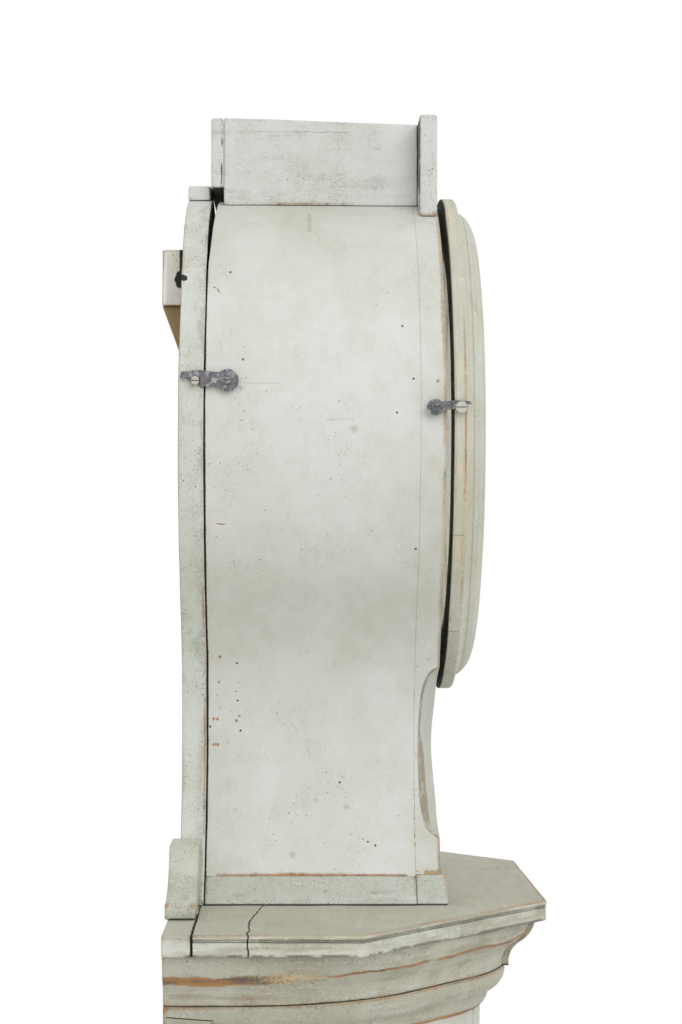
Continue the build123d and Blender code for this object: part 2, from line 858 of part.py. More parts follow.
with BuildPart() as hood_back_rib:
    with BuildSketch(front_plane(0)):
        add(hood_face(-sheet_thickness))
        add(hood_face(-sheet_thickness - rib_width), mode=Mode.SUBTRACT)
        with Locations((0, plate_top - 1)):
            Rectangle(4 * head_radius, rail_height + 1, align=(Align.CENTER, Align.MIN), mode=Mode.SUBTRACT)
    extrude(amount=rib_thickness)
    with Locations(*[side_plane(side, *back_hook_pivot) for side in (-1, 1)]):
        Cylinder(pivot_shank + pivot_clearance, 2 * screw_reach, mode=Mode.SUBTRACT)
    add(lean_wedge.part, mode=Mode.SUBTRACT)
finish(hood_back_rib, "hood_back_rib")


def rail_face(proud, height, inner_half):
    """Front view of the rails at the hood's foot."""
    with BuildSketch() as face:
        add(hood_face(proud))
        with Locations((0, plate_top + height)):
            Rectangle(
                4 * head_radius, 4 * head_radius, align=(Align.CENTER, Align.MIN), mode=Mode.SUBTRACT
            )
        if inner_half:
            with Locations((0, plate_top)):
                Rectangle(2 * inner_half, 2 * height, mode=Mode.SUBTRACT)
    return face.sketch


with BuildPart() as hood_side_rails:
    with BuildSketch(front_plane(0)):
        add(rail_face(rail_proud, rail_height, rail_inner))
    extrude(amount=sheet_front)
with BuildPart() as hood_front_rail:
    with BuildSketch(front_plane(sheet_front)):
        add(rail_face(front_rail_side, front_rail_height, 0.0))
    extrude(amount=front_board_thickness + front_rail_proud)
finish_group([*hood_side_rails.solids(), hood_front_rail.part], "hood_rails")

barrel_top = head_radius + crown_clearance

with BuildPart() as crown_barrel:
    with BuildSketch(front_plane(-2 * crown_back_overlap)):
        with Locations(centre_spot):
            Circle(barrel_top)
    extrude(amount=hood_depth)

with BuildPart() as crown_sides:
    for side in (-1, 1):
        with BuildSketch(Plane.YZ.offset(side * crown_half)):
            with BuildLine():
                Polyline(
                    (y_at(crown_board), head_z + crown_half),
                    (y_at(crown_front_start), head_z + crown_half),
                    (y_at(crown_front_start), plate_top + crown_front_top),
                    (y_at(crown_board), plate_top + crown_back_top),
                    close=True,
                )
            make_face()
        extrude(amount=-side * crown_board)
    add(crown_barrel.part, mode=Mode.SUBTRACT)

with BuildPart() as crown_back:
    with BuildSketch(front_plane(-crown_back_overlap)):
        with Locations((0, plate_top + crown_back_low)):
            Rectangle(2 * crown_half, crown_back_top - crown_back_low, align=(Align.CENTER, Align.MIN))
    extrude(amount=crown_board + crown_back_overlap)
    add(crown_barrel.part, mode=Mode.SUBTRACT)
    fillet(crown_back.edges().filter_by(Axis.X).group_by(Axis.Z)[-1], crown_rounding)
finish_group([crown_back.part, *crown_sides.solids()], "crown_box")

with BuildPart() as crown_front:
    with BuildSketch(front_plane(crown_front_start)):
        with Locations((0, plate_top + crown_front_top + crown_front_lip)):
            Rectangle(2 * crown_front_half, head_radius, align=(Align.CENTER, Align.MAX))
        with Locations(centre_spot):
            Circle(barrel_top, mode=Mode.SUBTRACT)
            Rectangle(4 * head_radius, 2 * crown_front_half, mode=Mode.SUBTRACT)
    extrude(amount=crown_front_thickness)
finish(crown_front, "crown_front")


# ======== the hood door and its hinges ========

door_front = door_rear + door_depth
hood_hinge_x = door_radius + hood_hinge_overhang
hood_hinge_depth = hood_depth + door_gap / 2


def knuckle_heights(middle_z, moving):
    """Middles of a leaf's knuckles: the moving leaf has the middle one, the fixed leaf the outer two."""
    pitch = knuckle_length + knuckle_gap
    return (middle_z,) if moving else (middle_z - pitch, middle_z + pitch)


def add_knuckles(axis_x, axis_depth, middle_z, moving):
    """Add a leaf's knuckles to the part being built: the moving one is bored, the fixed ones hold the pin."""
    for height in knuckle_heights(middle_z, moving):
        with Locations((axis_x, y_at(axis_depth), height)):
            Cylinder(knuckle_radius, knuckle_length)
    with Locations((axis_x, y_at(axis_depth), middle_z)):
        if moving:
            Cylinder(pin_radius + pin_clearance, knuckle_length, mode=Mode.SUBTRACT)
        else:
            Cylinder(pin_radius, leaf_length)


rim_corner = (door_radius - rim_round, y_at(door_rear + rim_depth + rim_round))
hollow_corner = (door_radius - hollow_width, y_at(door_rear + hollow_depth))
front_line = (door_radius - crest_width, y_at(door_front))

with BuildPart() as door_ring:
    with BuildSketch(Plane.XY.offset(head_z)):
        with BuildLine():
            Polyline(
                (door_bore, y_at(door_front - inner_round)),
                (door_bore, y_at(door_rear + glass_rebate)),
                (door_bore + glass_rebate, y_at(door_rear + glass_rebate)),
                (door_bore + glass_rebate, y_at(door_rear)),
                (door_radius, y_at(door_rear)),
                (door_radius, y_at(door_rear + rim_depth)),
            )
            TangentArc((door_radius, y_at(door_rear + rim_depth)), rim_corner, tangent=(0, -1))
            TangentArc(rim_corner, hollow_corner, tangent=(-1, 0))
            TangentArc(front_line, hollow_corner, tangent=(1, 0))
            TangentArc(front_line, (door_bore, y_at(door_front - inner_round)), tangent=(-1, 0))
        make_face()
    revolve(axis=Axis((0, 0, head_z), (0, 1, 0)))
    with Locations(side_plane(-1, *door_catch)):
        Cylinder(door_catch_shank + pivot_clearance, 2 * screw_reach, mode=Mode.SUBTRACT)
finish(door_ring, "door_ring")

with BuildPart() as door_glass:
    with BuildSketch(front_plane(door_rear + glass_rebate - glass_thickness)):
        with Locations(centre_spot):
            Circle(door_bore + glass_rebate - glass_margin)
    extrude(amount=glass_thickness)
finish(door_glass, "door_glass")


def hood_leaf(face_depth, moving):
    """Leaf that lies in the gap between hood and door, its back on face_depth."""
    with BuildPart() as leaf:
        for side in (-1, 1):
            middle = head_z + side * hood_hinge_offset
            with BuildSketch(front_plane(face_depth)):
                with Locations((hood_hinge_x - knuckle_radius - leaf_gap, middle)):
                    Rectangle(leaf_width, leaf_length, align=(Align.MAX, Align.CENTER))
                for height in knuckle_heights(middle, moving):
                    with Locations((hood_hinge_x, height)):
                        Rectangle(leaf_width, knuckle_length, align=(Align.MAX, Align.CENTER))
            extrude(amount=leaf_thickness)
            add_knuckles(hood_hinge_x, hood_hinge_depth, middle, moving)
    return leaf


hood_hinge_leaves = hood_leaf(hood_depth, False)
finish(hood_hinge_leaves, "hood_hinge_leaves")
door_hinge_leaves = hood_leaf(door_rear - leaf_thickness, True)
finish(door_hinge_leaves, "door_hinge_leaves")


def trunk_leaf(face_x, moving):
    """Leaf let into the door's edge or the frame's edge, its left face at face_x."""
    with BuildPart() as leaf:
        for middle in trunk_hinge_heights:
            with BuildSketch(Plane.YZ.offset(face_x)):
                with Locations((y_at(hinge_depth - knuckle_radius - leaf_gap), middle)):
                    Rectangle(trunk_leaf_depth, leaf_length, align=(Align.MIN, Align.CENTER))
                for height in knuckle_heights(middle, moving):
                    with Locations((y_at(hinge_depth), height)):
                        Rectangle(trunk_leaf_depth, knuckle_length, align=(Align.MIN, Align.CENTER))
            extrude(amount=trunk_leaf_thickness)
            add_knuckles(hinge_x, hinge_depth, middle, moving)
    return leaf


trunk_frame_leaves = trunk_leaf(trunk_door_half + trunk_door_gap, False)
finish(trunk_frame_leaves, "trunk_frame_leaves")
trunk_door_leaves = trunk_leaf(trunk_door_half - trunk_leaf_thickness, True)
finish(trunk_door_leaves, "trunk_door_leaves")


# ======== hooks and the screws that they turn on and catch ========

def hook_part(pivot, tip_depth, catch, shank, eye, face_x, arm_height):
    """Flat iron hook on the clock's left side: a round eye and an arm that lies over its screw."""
    (pivot_depth, pivot_rise), (catch_depth, catch_rise) = pivot, catch
    forwards = 1 if tip_depth > pivot_depth else -1
    rest = plate_top + catch_rise + shank + hook_lift
    inner = catch_depth - forwards * (shank + 2 * hook_lift + 1)
    with BuildPart() as hook:
        with BuildSketch(Plane.YZ.offset(-face_x)):
            with Locations((y_at(pivot_depth), plate_top + pivot_rise)):
                Circle(eye)
            with BuildLine():
                Polyline(
                    (y_at(pivot_depth), plate_top + pivot_rise - 0.45 * eye),
                    (y_at(inner), rest - arm_height * 0.8),
                    (y_at(inner), rest),
                    (y_at(tip_depth), rest + 0.2),
                    (y_at(tip_depth - forwards * 1.5), rest + arm_height * 0.55),
                    (y_at(inner), rest + arm_height * 0.7),
                    (y_at(pivot_depth), plate_top + pivot_rise + 0.6 * eye),
                    close=True,
                )
            make_face()
            with Locations((y_at(pivot_depth), plate_top + pivot_rise)):
                Circle(pivot_shank + pivot_clearance, mode=Mode.SUBTRACT)
        extrude(amount=-hook_thickness)
    return hook


back_hook_left = hook_part(
    back_hook_pivot, back_hook_tip, back_catch, back_catch_shank, back_hook_eye, back_hook_face, back_arm
)
finish(back_hook_left, "back_hook_left")
with BuildPart() as back_hook_right:
    add(back_hook_left.part.mirror(Plane.YZ))
finish(back_hook_right, "back_hook_right")
door_hook = hook_part(
    door_hook_pivot, door_hook_tip, door_catch, door_catch_shank, door_hook_eye, door_hook_face, door_arm
)
finish(door_hook, "door_hook")


def side_screw(spot, face_x, shank, head, foot_x):
    """Screw that stands out of the left side: a shank from foot_x, and a slotted head past face_x."""
    depth, rise = spot
    with BuildPart() as screw:
        with BuildSketch(Plane.YZ.offset(-foot_x)):
            with Locations((y_at(depth), plate_top + rise)):
                Circle(shank)
        extrude(amount=foot_x - face_x)
        with BuildSketch(Plane.YZ.offset(-face_x)):
            with Locations((y_at(depth), plate_top + rise)):
                Circle(head)
        extrude(amount=-screw_head_height)
        with BuildSketch(Plane.YZ.offset(-face_x - screw_head_height)):
            with Locations((y_at(depth), plate_top + rise)):
                Rectangle(2 * head, head * 0.24)
        extrude(amount=screw_head_height * 0.5, mode=Mode.SUBTRACT)
    return screw.part


hook_outer = back_hook_face + hook_thickness
with BuildPart() as hook_pivot_screws:
    back_pivot = side_screw(
        back_hook_pivot, hook_outer + pivot_gap, pivot_shank, pivot_head, head_radius - screw_reach
    )
    add(back_pivot)
    add(back_pivot.mirror(Plane.YZ))
    add(side_screw(
        door_hook_pivot, door_hook_face + hook_thickness + pivot_gap, pivot_shank, pivot_head,
        head_radius - screw_reach,
    ))
finish(hook_pivot_screws, "hook_pivot_screws")

with BuildPart() as back_catch_screws:
    back_catch_part = side_screw(
        back_catch, hook_outer + hook_side_gap, back_catch_shank, back_catch_head,
        head_radius - screw_reach,
    )
    add(back_catch_part)
    add(back_catch_part.mirror(Plane.YZ))
finish(back_catch_screws, "back_catch_screws")

with BuildPart() as door_catch_screw:
    add(side_screw(
        door_catch, door_hook_face + hook_thickness + hook_side_gap, door_catch_shank, door_catch_head,
        head_radius - screw_reach,
    ))
finish(door_catch_screw, "door_catch_screw")


# ======== the trunk door and its lock ========

with BuildPart() as trunk_door:
    with BuildSketch(front_plane(door_back)):
        with Locations((0, door_middle)):
            Rectangle(2 * trunk_door_half, door_height)
    extrude(amount=trunk_door_thickness)
    with BuildSketch(front_plane(door_face)):
        with Locations((0, door_middle)):
            bead_half = trunk_door_half - door_bead_inset
            Rectangle(2 * bead_half, door_height - 2 * door_bead_inset)
            Rectangle(
                2 * (bead_half - door_bead_width),
                door_height - 2 * (door_bead_inset + door_bead_width),
                mode=Mode.SUBTRACT,
            )
    extrude(amount=door_bead_height)
    bead_top = trunk_door.faces().filter_by(Axis.Y).sort_by(Axis.Y)[0]
    chamfer(bead_top.edges(), door_bead_height * 0.6)
    for middle in trunk_hinge_heights:
        with BuildSketch(Plane.YZ.offset(trunk_door_half)):
            with Locations((y_at(door_face), middle)):
                Rectangle(door_face - leaf_back, leaf_length, align=(Align.MIN, Align.CENTER))
        extrude(amount=-trunk_leaf_thickness, mode=Mode.SUBTRACT)
    with BuildSketch(front_plane(door_back)):
        with Locations((lock_x, lock_z - key_drop)):
            Circle(key_radius + key_clearance)
    extrude(amount=trunk_door_thickness, mode=Mode.SUBTRACT)
finish(trunk_door, "trunk_door")

lock_left = lock_x - lock_width / 2
bolt_z = lock_z + bolt_rise
bolt_depth = door_back - lock_depth + lock_wall + bolt_clearance
key_z = lock_z - key_drop

with BuildPart() as trunk_lock:
    with BuildSketch(front_plane(door_back - lock_depth)):
        with Locations((lock_x, lock_z)):
            Rectangle(lock_width, lock_height)
    extrude(amount=lock_depth)
    with BuildSketch(front_plane(door_back - lock_depth + lock_wall)):
        with Locations((lock_x, lock_z)):
            Rectangle(lock_width - 2 * lock_wall, lock_height - 2 * lock_wall)
    extrude(amount=lock_depth - 2 * lock_wall, mode=Mode.SUBTRACT)
    with BuildSketch(Plane.YZ.offset(lock_left)):
        with Locations((y_at(bolt_depth - bolt_clearance), bolt_z)):
            Rectangle(
                bolt_thickness + 2 * bolt_clearance, bolt_height + 2 * bolt_clearance,
                align=(Align.MAX, Align.CENTER),
            )
    extrude(amount=lock_wall, mode=Mode.SUBTRACT)
    with BuildSketch(front_plane(door_back - lock_wall)):
        with Locations((lock_x, key_z)):
            Circle(key_radius + key_clearance)
    extrude(amount=lock_wall, mode=Mode.SUBTRACT)
    with BuildSketch(front_plane(door_face)):
        with Locations((lock_x, key_z + 2)):
            Ellipse(escutcheon_half, escutcheon_height)
        with Locations((lock_x, key_z)):
            Circle(key_radius + key_clearance, mode=Mode.SUBTRACT)
    extrude(amount=escutcheon_thickness)
finish(trunk_lock, "trunk_lock")

with BuildPart() as lock_bolt:
    with BuildSketch(front_plane(bolt_depth)):
        with Locations((lock_left - 1, bolt_z)):
            Rectangle(bolt_length, bolt_height, align=(Align.MIN, Align.CENTER))
    extrude(amount=bolt_thickness)
finish(lock_bolt, "lock_bolt")

with BuildPart() as door_key:
    key_start = door_back - lock_depth + lock_wall + 1
    key_end = door_face + key_reach
    with BuildSketch(front_plane(key_start)):
        with Locations((lock_x, key_z)):
            Circle(key_radius)
    extrude(amount=key_end - key_start)
    with BuildSketch(front_plane(key_start)):
        with Locations((lock_x, key_z)):
            Rectangle(key_radius, key_drop, align=(Align.CENTER, Align.MAX))
    extrude(amount=bolt_thickness)
    with BuildSketch(Plane.YZ.offset(lock_x - key_radius * 0.7)):
        with Locations((y_at(key_end + key_bow - 1), key_z)):
            Ellipse(key_bow, key_bow * 1.1)
            Ellipse(key_bow * 0.55, key_bow * 0.65, mode=Mode.SUBTRACT)
    extrude(amount=key_radius * 1.4)
finish(door_key, "door_key")


# ======== the seat and the movement ========

with BuildPart() as seat_cheeks:
    with BuildSketch(Plane.XY.offset(plate_top)):
        for side in (-1, 1):
            with Locations((side * cheek_inner, y_at(cheek_front))):
                cheek_align = Align.MIN if side > 0 else Align.MAX
                Rectangle(cheek_thickness, cheek_front - cheek_back, align=(cheek_align, Align.MIN))
    extrude(amount=seat_height)

line_x = great_x + barrel_radius + line_radius + line_gap

with BuildPart() as seat_board:
    with BuildSketch(Plane.XY.offset(plate_top + seat_height)):
        with Locations((0, y_at((seat_back + seat_front) / 2))):
            Rectangle(2 * seat_half, seat_front - seat_back)
        with Locations((0, y_at(seat_back))):
            Rectangle(2 * seat_notch_half, 2 * seat_notch_depth, mode=Mode.SUBTRACT)
        with Locations((-line_x, y_at(weight_depth)), (line_x, y_at(weight_depth))):
            Circle(line_hole, mode=Mode.SUBTRACT)
    extrude(amount=seat_thickness)
finish_group([*seat_cheeks.solids(), seat_board.part], "movement_seat")

frame_middle_z = frame_low + frame_height / 2
arbor_spots = [centre_spot, going_spot, strike_spot, third_spot, escape_spot, anchor_spot, hammer_spot]

with BuildPart() as movement_plates:
    for start in (frame_back, frame_front - frame_plate):
        with BuildSketch(front_plane(start)):
            with Locations((0, frame_middle_z)):
                RectangleRounded(2 * frame_half, frame_height, pillar_radius)
            with Locations(*arbor_spots):
                Circle(arbor_radius + pivot_clearance, mode=Mode.SUBTRACT)
        extrude(amount=frame_plate)
    with BuildSketch(front_plane(frame_front)):
        with Locations(minute_spot):
            Circle(stud_radius)
    extrude(amount=motion_depth + 4 * wheel_thickness)
finish(movement_plates, "movement_plates")

with BuildPart() as movement_pillars:
    with BuildSketch(front_plane(frame_back + frame_plate)):
        with Locations((0, frame_middle_z)):
            with GridLocations(2 * (frame_half - pillar_inset), frame_height - 2 * pillar_inset, 2, 2):
                Circle(pillar_radius)
    extrude(amount=frame_front - frame_back - 2 * frame_plate)
    with BuildSketch(front_plane(frame_front)):
        with Locations(centre_spot):
            with GridLocations(2 * dial_pillar_offset, 2 * dial_pillar_offset, 2, 2):
                Circle(dial_pillar_radius)
    extrude(amount=dial_depth - frame_front)
finish(movement_pillars, "movement_pillars")


def add_disc(spot, depth, thickness, face):
    """Wheel or pinion on its arbor."""
    with BuildPart() as disc:
        with BuildSketch(front_plane(depth)):
            with Locations(spot):
                add(face)
        extrude(amount=thickness)
    return disc.part


def add_rod(spot, start, end, radius=arbor_radius, bore=0.0):
    """Round arbor, barrel or pipe between two depths."""
    with BuildPart() as rod:
        with BuildSketch(front_plane(start)):
            with Locations(spot):
                Circle(radius)
                if bore:
                    Circle(bore, mode=Mode.SUBTRACT)
        extrude(amount=end - start)
    return rod.part


def pinion(spot, wheel_depth, face):
    """Pinion a little longer than the wheel that it meshes with."""
    return add_disc(spot, wheel_depth - pinion_overlap, wheel_thickness + 2 * pinion_overlap, face)


going_to_centre = bearing(going_spot, centre_spot)
centre_to_third = bearing(centre_spot, third_spot)
third_to_escape = bearing(third_spot, escape_spot)
centre_to_minute = bearing(centre_spot, minute_spot)
great_depth = frame_front - frame_plate - 4 * wheel_thickness
strike_depth = frame_back + strike_place
strike_barrel_back = strike_depth + wheel_thickness
centre_depth = frame_back + centre_place
third_depth = frame_back + third_place
escape_depth = frame_back + escape_place
winding_end = dial_depth + dial_thickness + winding_reach
cannon_depth = frame_front + motion_depth
hour_depth = cannon_depth + wheel_thickness + motion_gap

with BuildPart() as going_barrel:
    add(add_rod(going_spot, frame_back, winding_end))
    going_face = gear_face(great_teeth, great_module, going_to_centre)
    add(add_disc(going_spot, great_depth, wheel_thickness, going_face))
    add(add_rod(going_spot, strike_depth + barrel_gap, great_depth - barrel_gap, barrel_radius))
    add(add_rod(going_spot, great_depth - barrel_gap, great_depth, barrel_radius / 2))
finish(going_barrel, "going_barrel")

with BuildPart() as strike_barrel:
    add(add_rod(strike_spot, frame_back, winding_end))
    add(add_disc(strike_spot, strike_depth, wheel_thickness, gear_face(great_teeth, great_module, 0)))
    add(add_rod(strike_spot, strike_barrel_back + barrel_gap, great_depth, barrel_radius))
    add(add_rod(strike_spot, strike_barrel_back, strike_barrel_back + barrel_gap, barrel_radius / 2))
finish(strike_barrel, "strike_barrel")

with BuildPart() as centre_wheel:
    add(add_rod(centre_spot, frame_back, minute_hand_depth))
    centre_face = gear_face(centre_teeth, centre_module, centre_to_third)
    add(add_disc(centre_spot, centre_depth, wheel_thickness, centre_face))
    centre_pinion_turn = going_to_centre + 180 + 180 / centre_pinion_teeth
    add(pinion(centre_spot, great_depth, gear_face(centre_pinion_teeth, great_module, centre_pinion_turn)))
    cannon_face = gear_face(cannon_teeth, minute_module, centre_to_minute)
    add(add_disc(centre_spot, cannon_depth, wheel_thickness, cannon_face))
finish(centre_wheel, "centre_wheel")

with BuildPart() as third_wheel:
    add(add_rod(third_spot, frame_back, frame_front))
    third_face = gear_face(third_teeth, third_module, third_to_escape)
    add(add_disc(third_spot, third_depth, wheel_thickness, third_face))
    third_pinion_turn = centre_to_third + 180 + 180 / third_pinion_teeth
    add(pinion(third_spot, centre_depth, gear_face(third_pinion_teeth, centre_module, third_pinion_turn)))
finish(third_wheel, "third_wheel")

with BuildPart() as escape_wheel:
    add(add_rod(escape_spot, frame_back, frame_front))
    escape_step = 2 * pi / escape_teeth
    with BuildSketch(front_plane(escape_depth)):
        with Locations(escape_spot):
            with BuildSketch(mode=Mode.PRIVATE) as escape_face:
                with BuildLine():
                    points = []
                    for tooth in range(escape_teeth):
                        root = escape_radius - escape_tooth_height
                        for radius, turn in ((root, 0.0), (escape_radius, 0.75), (escape_radius, 0.85)):
                            angle = (tooth + turn) * escape_step
                            points.append((radius * cos(angle), radius * sin(angle)))
                    Polyline(*points, close=True)
                make_face()
            add(escape_face.sketch)
    extrude(amount=wheel_thickness)
    escape_pinion = gear_face(
        escape_pinion_teeth, third_module, third_to_escape + 180 + 180 / escape_pinion_teeth
    )
    add(pinion(escape_spot, third_depth, escape_pinion))
finish(escape_wheel, "escape_wheel")

with BuildPart() as minute_wheel:
    minute_face = gear_face(minute_teeth, minute_module, centre_to_minute + 180 + 180 / minute_teeth)
    add(add_disc(minute_spot, cannon_depth, wheel_thickness, minute_face))
    minute_pinion = gear_face(minute_pinion_teeth, hour_module, centre_to_minute + 180)
    minute_pinion_length = motion_gap + wheel_thickness + pinion_overlap
    add(add_disc(minute_spot, cannon_depth + wheel_thickness, minute_pinion_length, minute_pinion))
    with BuildSketch(front_plane(cannon_depth)):
        with Locations(minute_spot):
            Circle(stud_radius + pivot_clearance)
    extrude(amount=wheel_thickness + minute_pinion_length, mode=Mode.SUBTRACT)
finish(minute_wheel, "minute_wheel")

with BuildPart() as hour_wheel:
    hour_face = gear_face(hour_teeth, hour_module, centre_to_minute + 180 / hour_teeth)
    add(add_disc(centre_spot, hour_depth, wheel_thickness, hour_face))
    add(add_rod(centre_spot, hour_depth, hour_hand_depth, hour_pipe_radius))
    with BuildSketch(front_plane(hour_depth)):
        with Locations(centre_spot):
            Circle(arbor_radius + pipe_clearance)
    extrude(amount=hour_hand_depth - hour_depth, mode=Mode.SUBTRACT)
finish(hour_wheel, "hour_wheel")


# ======== dial and hands ========

with BuildPart() as dial:
    with BuildSketch(front_plane(dial_depth)):
        with Locations(centre_spot):
            Circle(dial_radius)
            Circle(hour_pipe_radius + pipe_clearance, mode=Mode.SUBTRACT)
        with Locations(going_spot, strike_spot):
            Circle(winding_hole, mode=Mode.SUBTRACT)
    extrude(amount=dial_thickness)
finish(dial, "dial")


def hand_face(length, width, bore):
    """Clock hand pointing up: a boss, a tapering blade with a pierced disc, and a point."""
    shares = ((0.32, 0.0), (0.20, 0.62), (0.42, 0.76))      # half width and height of the blade's corners
    right = [(across * width, up * length) for across, up in shares]
    left = [(-across, up) for across, up in reversed(right)]
    disc_spot = (0, right[1][1])
    with BuildSketch() as face:
        with BuildLine():
            Polyline(*right, (0, length), *left, close=True)
        make_face()
        with Locations(disc_spot):
            Circle(0.62 * width)
            Circle(0.36 * width, mode=Mode.SUBTRACT)
        Circle(hour_pipe_radius + hand_boss)
        if bore:
            Circle(bore, mode=Mode.SUBTRACT)
    return face.sketch


with BuildPart() as hour_hand:
    with BuildSketch(front_plane(hour_hand_depth)):
        with Locations(Location((*centre_spot, 0), (0, 0, -hour_rest_angle))):
            add(hand_face(hour_hand_length, hour_hand_width, arbor_radius + pipe_clearance))
    extrude(amount=hand_thickness)
finish(hour_hand, "hour_hand")

with BuildPart() as minute_hand:
    with BuildSketch(front_plane(minute_hand_depth)):
        with Locations(Location((*centre_spot, 0), (0, 0, -minute_rest_angle))):
            add(hand_face(minute_hand_length, minute_hand_width, 0.0))
    extrude(amount=hand_thickness)
finish(minute_hand, "minute_hand")


# ======== pendulum, anchor, bell and weights ========

with BuildPart() as movement_cocks:
    with BuildSketch(front_plane(cock_back)):
        with Locations(anchor_spot):
            Rectangle(2 * cock_half, cock_height)
    extrude(amount=cock_thickness)
    with BuildSketch(front_plane(cock_back)):
        with Locations(anchor_spot):
            for side in (-1, 1):
                with Locations((side * (cock_half + cock_thickness / 2), 0)):
                    Rectangle(cock_thickness, cock_height)
    extrude(amount=frame_back - cock_back)
    add(add_rod(anchor_spot, cock_back + cock_thickness, pendulum_depth + stud_reach, stud_radius))
    bell_top = head_z + bell_rise + bell_radius
    arm_top = bell_top + bell_seat + cock_thickness
    with BuildSketch(front_plane(frame_back - cock_thickness)):
        with Locations((bell_x, arm_top)):
            arm_height = arm_top - head_z - bell_arm_foot
            Rectangle(bell_arm_width, arm_height, align=(Align.CENTER, Align.MAX))
    extrude(amount=cock_thickness)
    with BuildSketch(Plane.XY.offset(bell_top + bell_seat)):
        with Locations((bell_x, y_at(frame_back))):
            arm_length = bell_depth - frame_back + cock_thickness
            Rectangle(bell_arm_width, arm_length, align=(Align.CENTER, Align.MAX))
        with Locations((bell_x, y_at(frame_back))):
            Rectangle(bell_arm_width, cock_thickness, align=(Align.CENTER, Align.MIN))
    extrude(amount=cock_thickness)
    with BuildSketch(Plane.XY.offset(bell_top)):
        with Locations((bell_x, y_at(bell_depth))):
            Circle(2 * stud_radius)
    extrude(amount=bell_seat)
finish(movement_cocks, "movement_cocks")

with BuildPart() as bell:
    with BuildSketch(Plane.XZ.offset(-y_at(bell_depth))):
        with BuildLine():
            bell_z = head_z + bell_rise
            ThreePointArc(
                (bell_x, bell_z + bell_radius),
                (bell_x + bell_radius * sin(pi / 4), bell_z + bell_radius * cos(pi / 4)),
                (bell_x + bell_radius, bell_z),
            )
            Line((bell_x + bell_radius, bell_z), (bell_x + bell_radius - bell_wall, bell_z))
            inner_bell = bell_radius - bell_wall
            ThreePointArc(
                (bell_x + inner_bell, bell_z),
                (bell_x + inner_bell * sin(pi / 4), bell_z + inner_bell * cos(pi / 4)),
                (bell_x, bell_z + inner_bell),
            )
            Line((bell_x, bell_z + inner_bell), (bell_x, bell_z + bell_radius))
        make_face()
    revolve(axis=Axis((bell_x, y_at(bell_depth), bell_z), (0, 0, 1)))
finish(bell, "bell")

with BuildPart() as hammer:
    head_x = bell_x - bell_radius - hammer_gap - hammer_head_radius
    hammer_z = head_z + bell_rise + hammer_head_radius
    add(add_rod(hammer_spot, frame_back, frame_front))
    with BuildSketch(front_plane(bell_depth - arbor_radius / 2)):
        with BuildLine():
            Line(hammer_spot, (head_x, hammer_z))
        trace(line_width=2 * arbor_radius)
    extrude(amount=arbor_radius)
    with BuildSketch(front_plane(bell_depth - hammer_head_radius)):
        with Locations((head_x, hammer_z)):
            Circle(hammer_head_radius)
    extrude(amount=2 * hammer_head_radius)
finish(hammer, "hammer")

with BuildPart() as anchor:
    crutch_depth = pendulum_depth + crutch_gap
    add(add_rod(anchor_spot, crutch_depth, frame_front))
    pallet_reach = escape_radius + pallet_gap
    elbow_z = anchor_spot[1] - elbow_drop
    pallet_z = escape_spot[1] + pallet_share * pallet_reach
    with BuildSketch(front_plane(escape_depth)):
        with Locations(anchor_spot):
            Circle(2.4 * arbor_radius)
        for side in (-1, 1):
            with BuildLine():
                Polyline(
                    (0, anchor_spot[1] + arbor_radius),
                    (side * (elbow_x + anchor_arm), elbow_z + anchor_arm),
                    (side * pallet_share * pallet_reach, pallet_z),
                    (side * (elbow_x - anchor_arm), elbow_z + anchor_arm),
                    (0, anchor_spot[1] - arbor_radius),
                    close=True,
                )
            make_face()
    extrude(amount=wheel_thickness)
    fork_low = anchor_spot[1] - crutch_length
    fork_side = rod_width / 2 + fork_clearance
    with BuildSketch(front_plane(crutch_depth)):
        with Locations((0, anchor_spot[1])):
            Rectangle(2 * arbor_radius, crutch_length, align=(Align.CENTER, Align.MAX))
        with Locations((0, fork_low)):
            Rectangle(2 * (fork_side + fork_wall), fork_height)
    extrude(amount=crutch_thickness)
    with BuildSketch(front_plane(pendulum_depth - rod_thickness)):
        for side in (-1, 1):
            with Locations((side * (fork_side + fork_wall / 2), fork_low)):
                Rectangle(fork_wall, fork_height)
    extrude(amount=crutch_depth - pendulum_depth + rod_thickness)
finish(anchor, "anchor")

bob_z = anchor_spot[1] - pendulum_length

with BuildPart() as pendulum_rod:
    with BuildSketch(front_plane(pendulum_depth - rod_thickness / 2)):
        with Locations((0, anchor_spot[1] - rod_head)):
            Rectangle(rod_width, pendulum_length + bob_radius + rod_tail, align=(Align.CENTER, Align.MAX))
        with Locations(anchor_spot):
            Circle(rod_eye)
            Circle(stud_radius + pivot_clearance, mode=Mode.SUBTRACT)
    extrude(amount=rod_thickness)
    with Locations((0, y_at(pendulum_depth), bob_z - bob_radius - rod_slack)):
        Cylinder(rod_width, nut_height, align=(Align.CENTER, Align.CENTER, Align.MAX))
finish(pendulum_rod, "pendulum_rod")

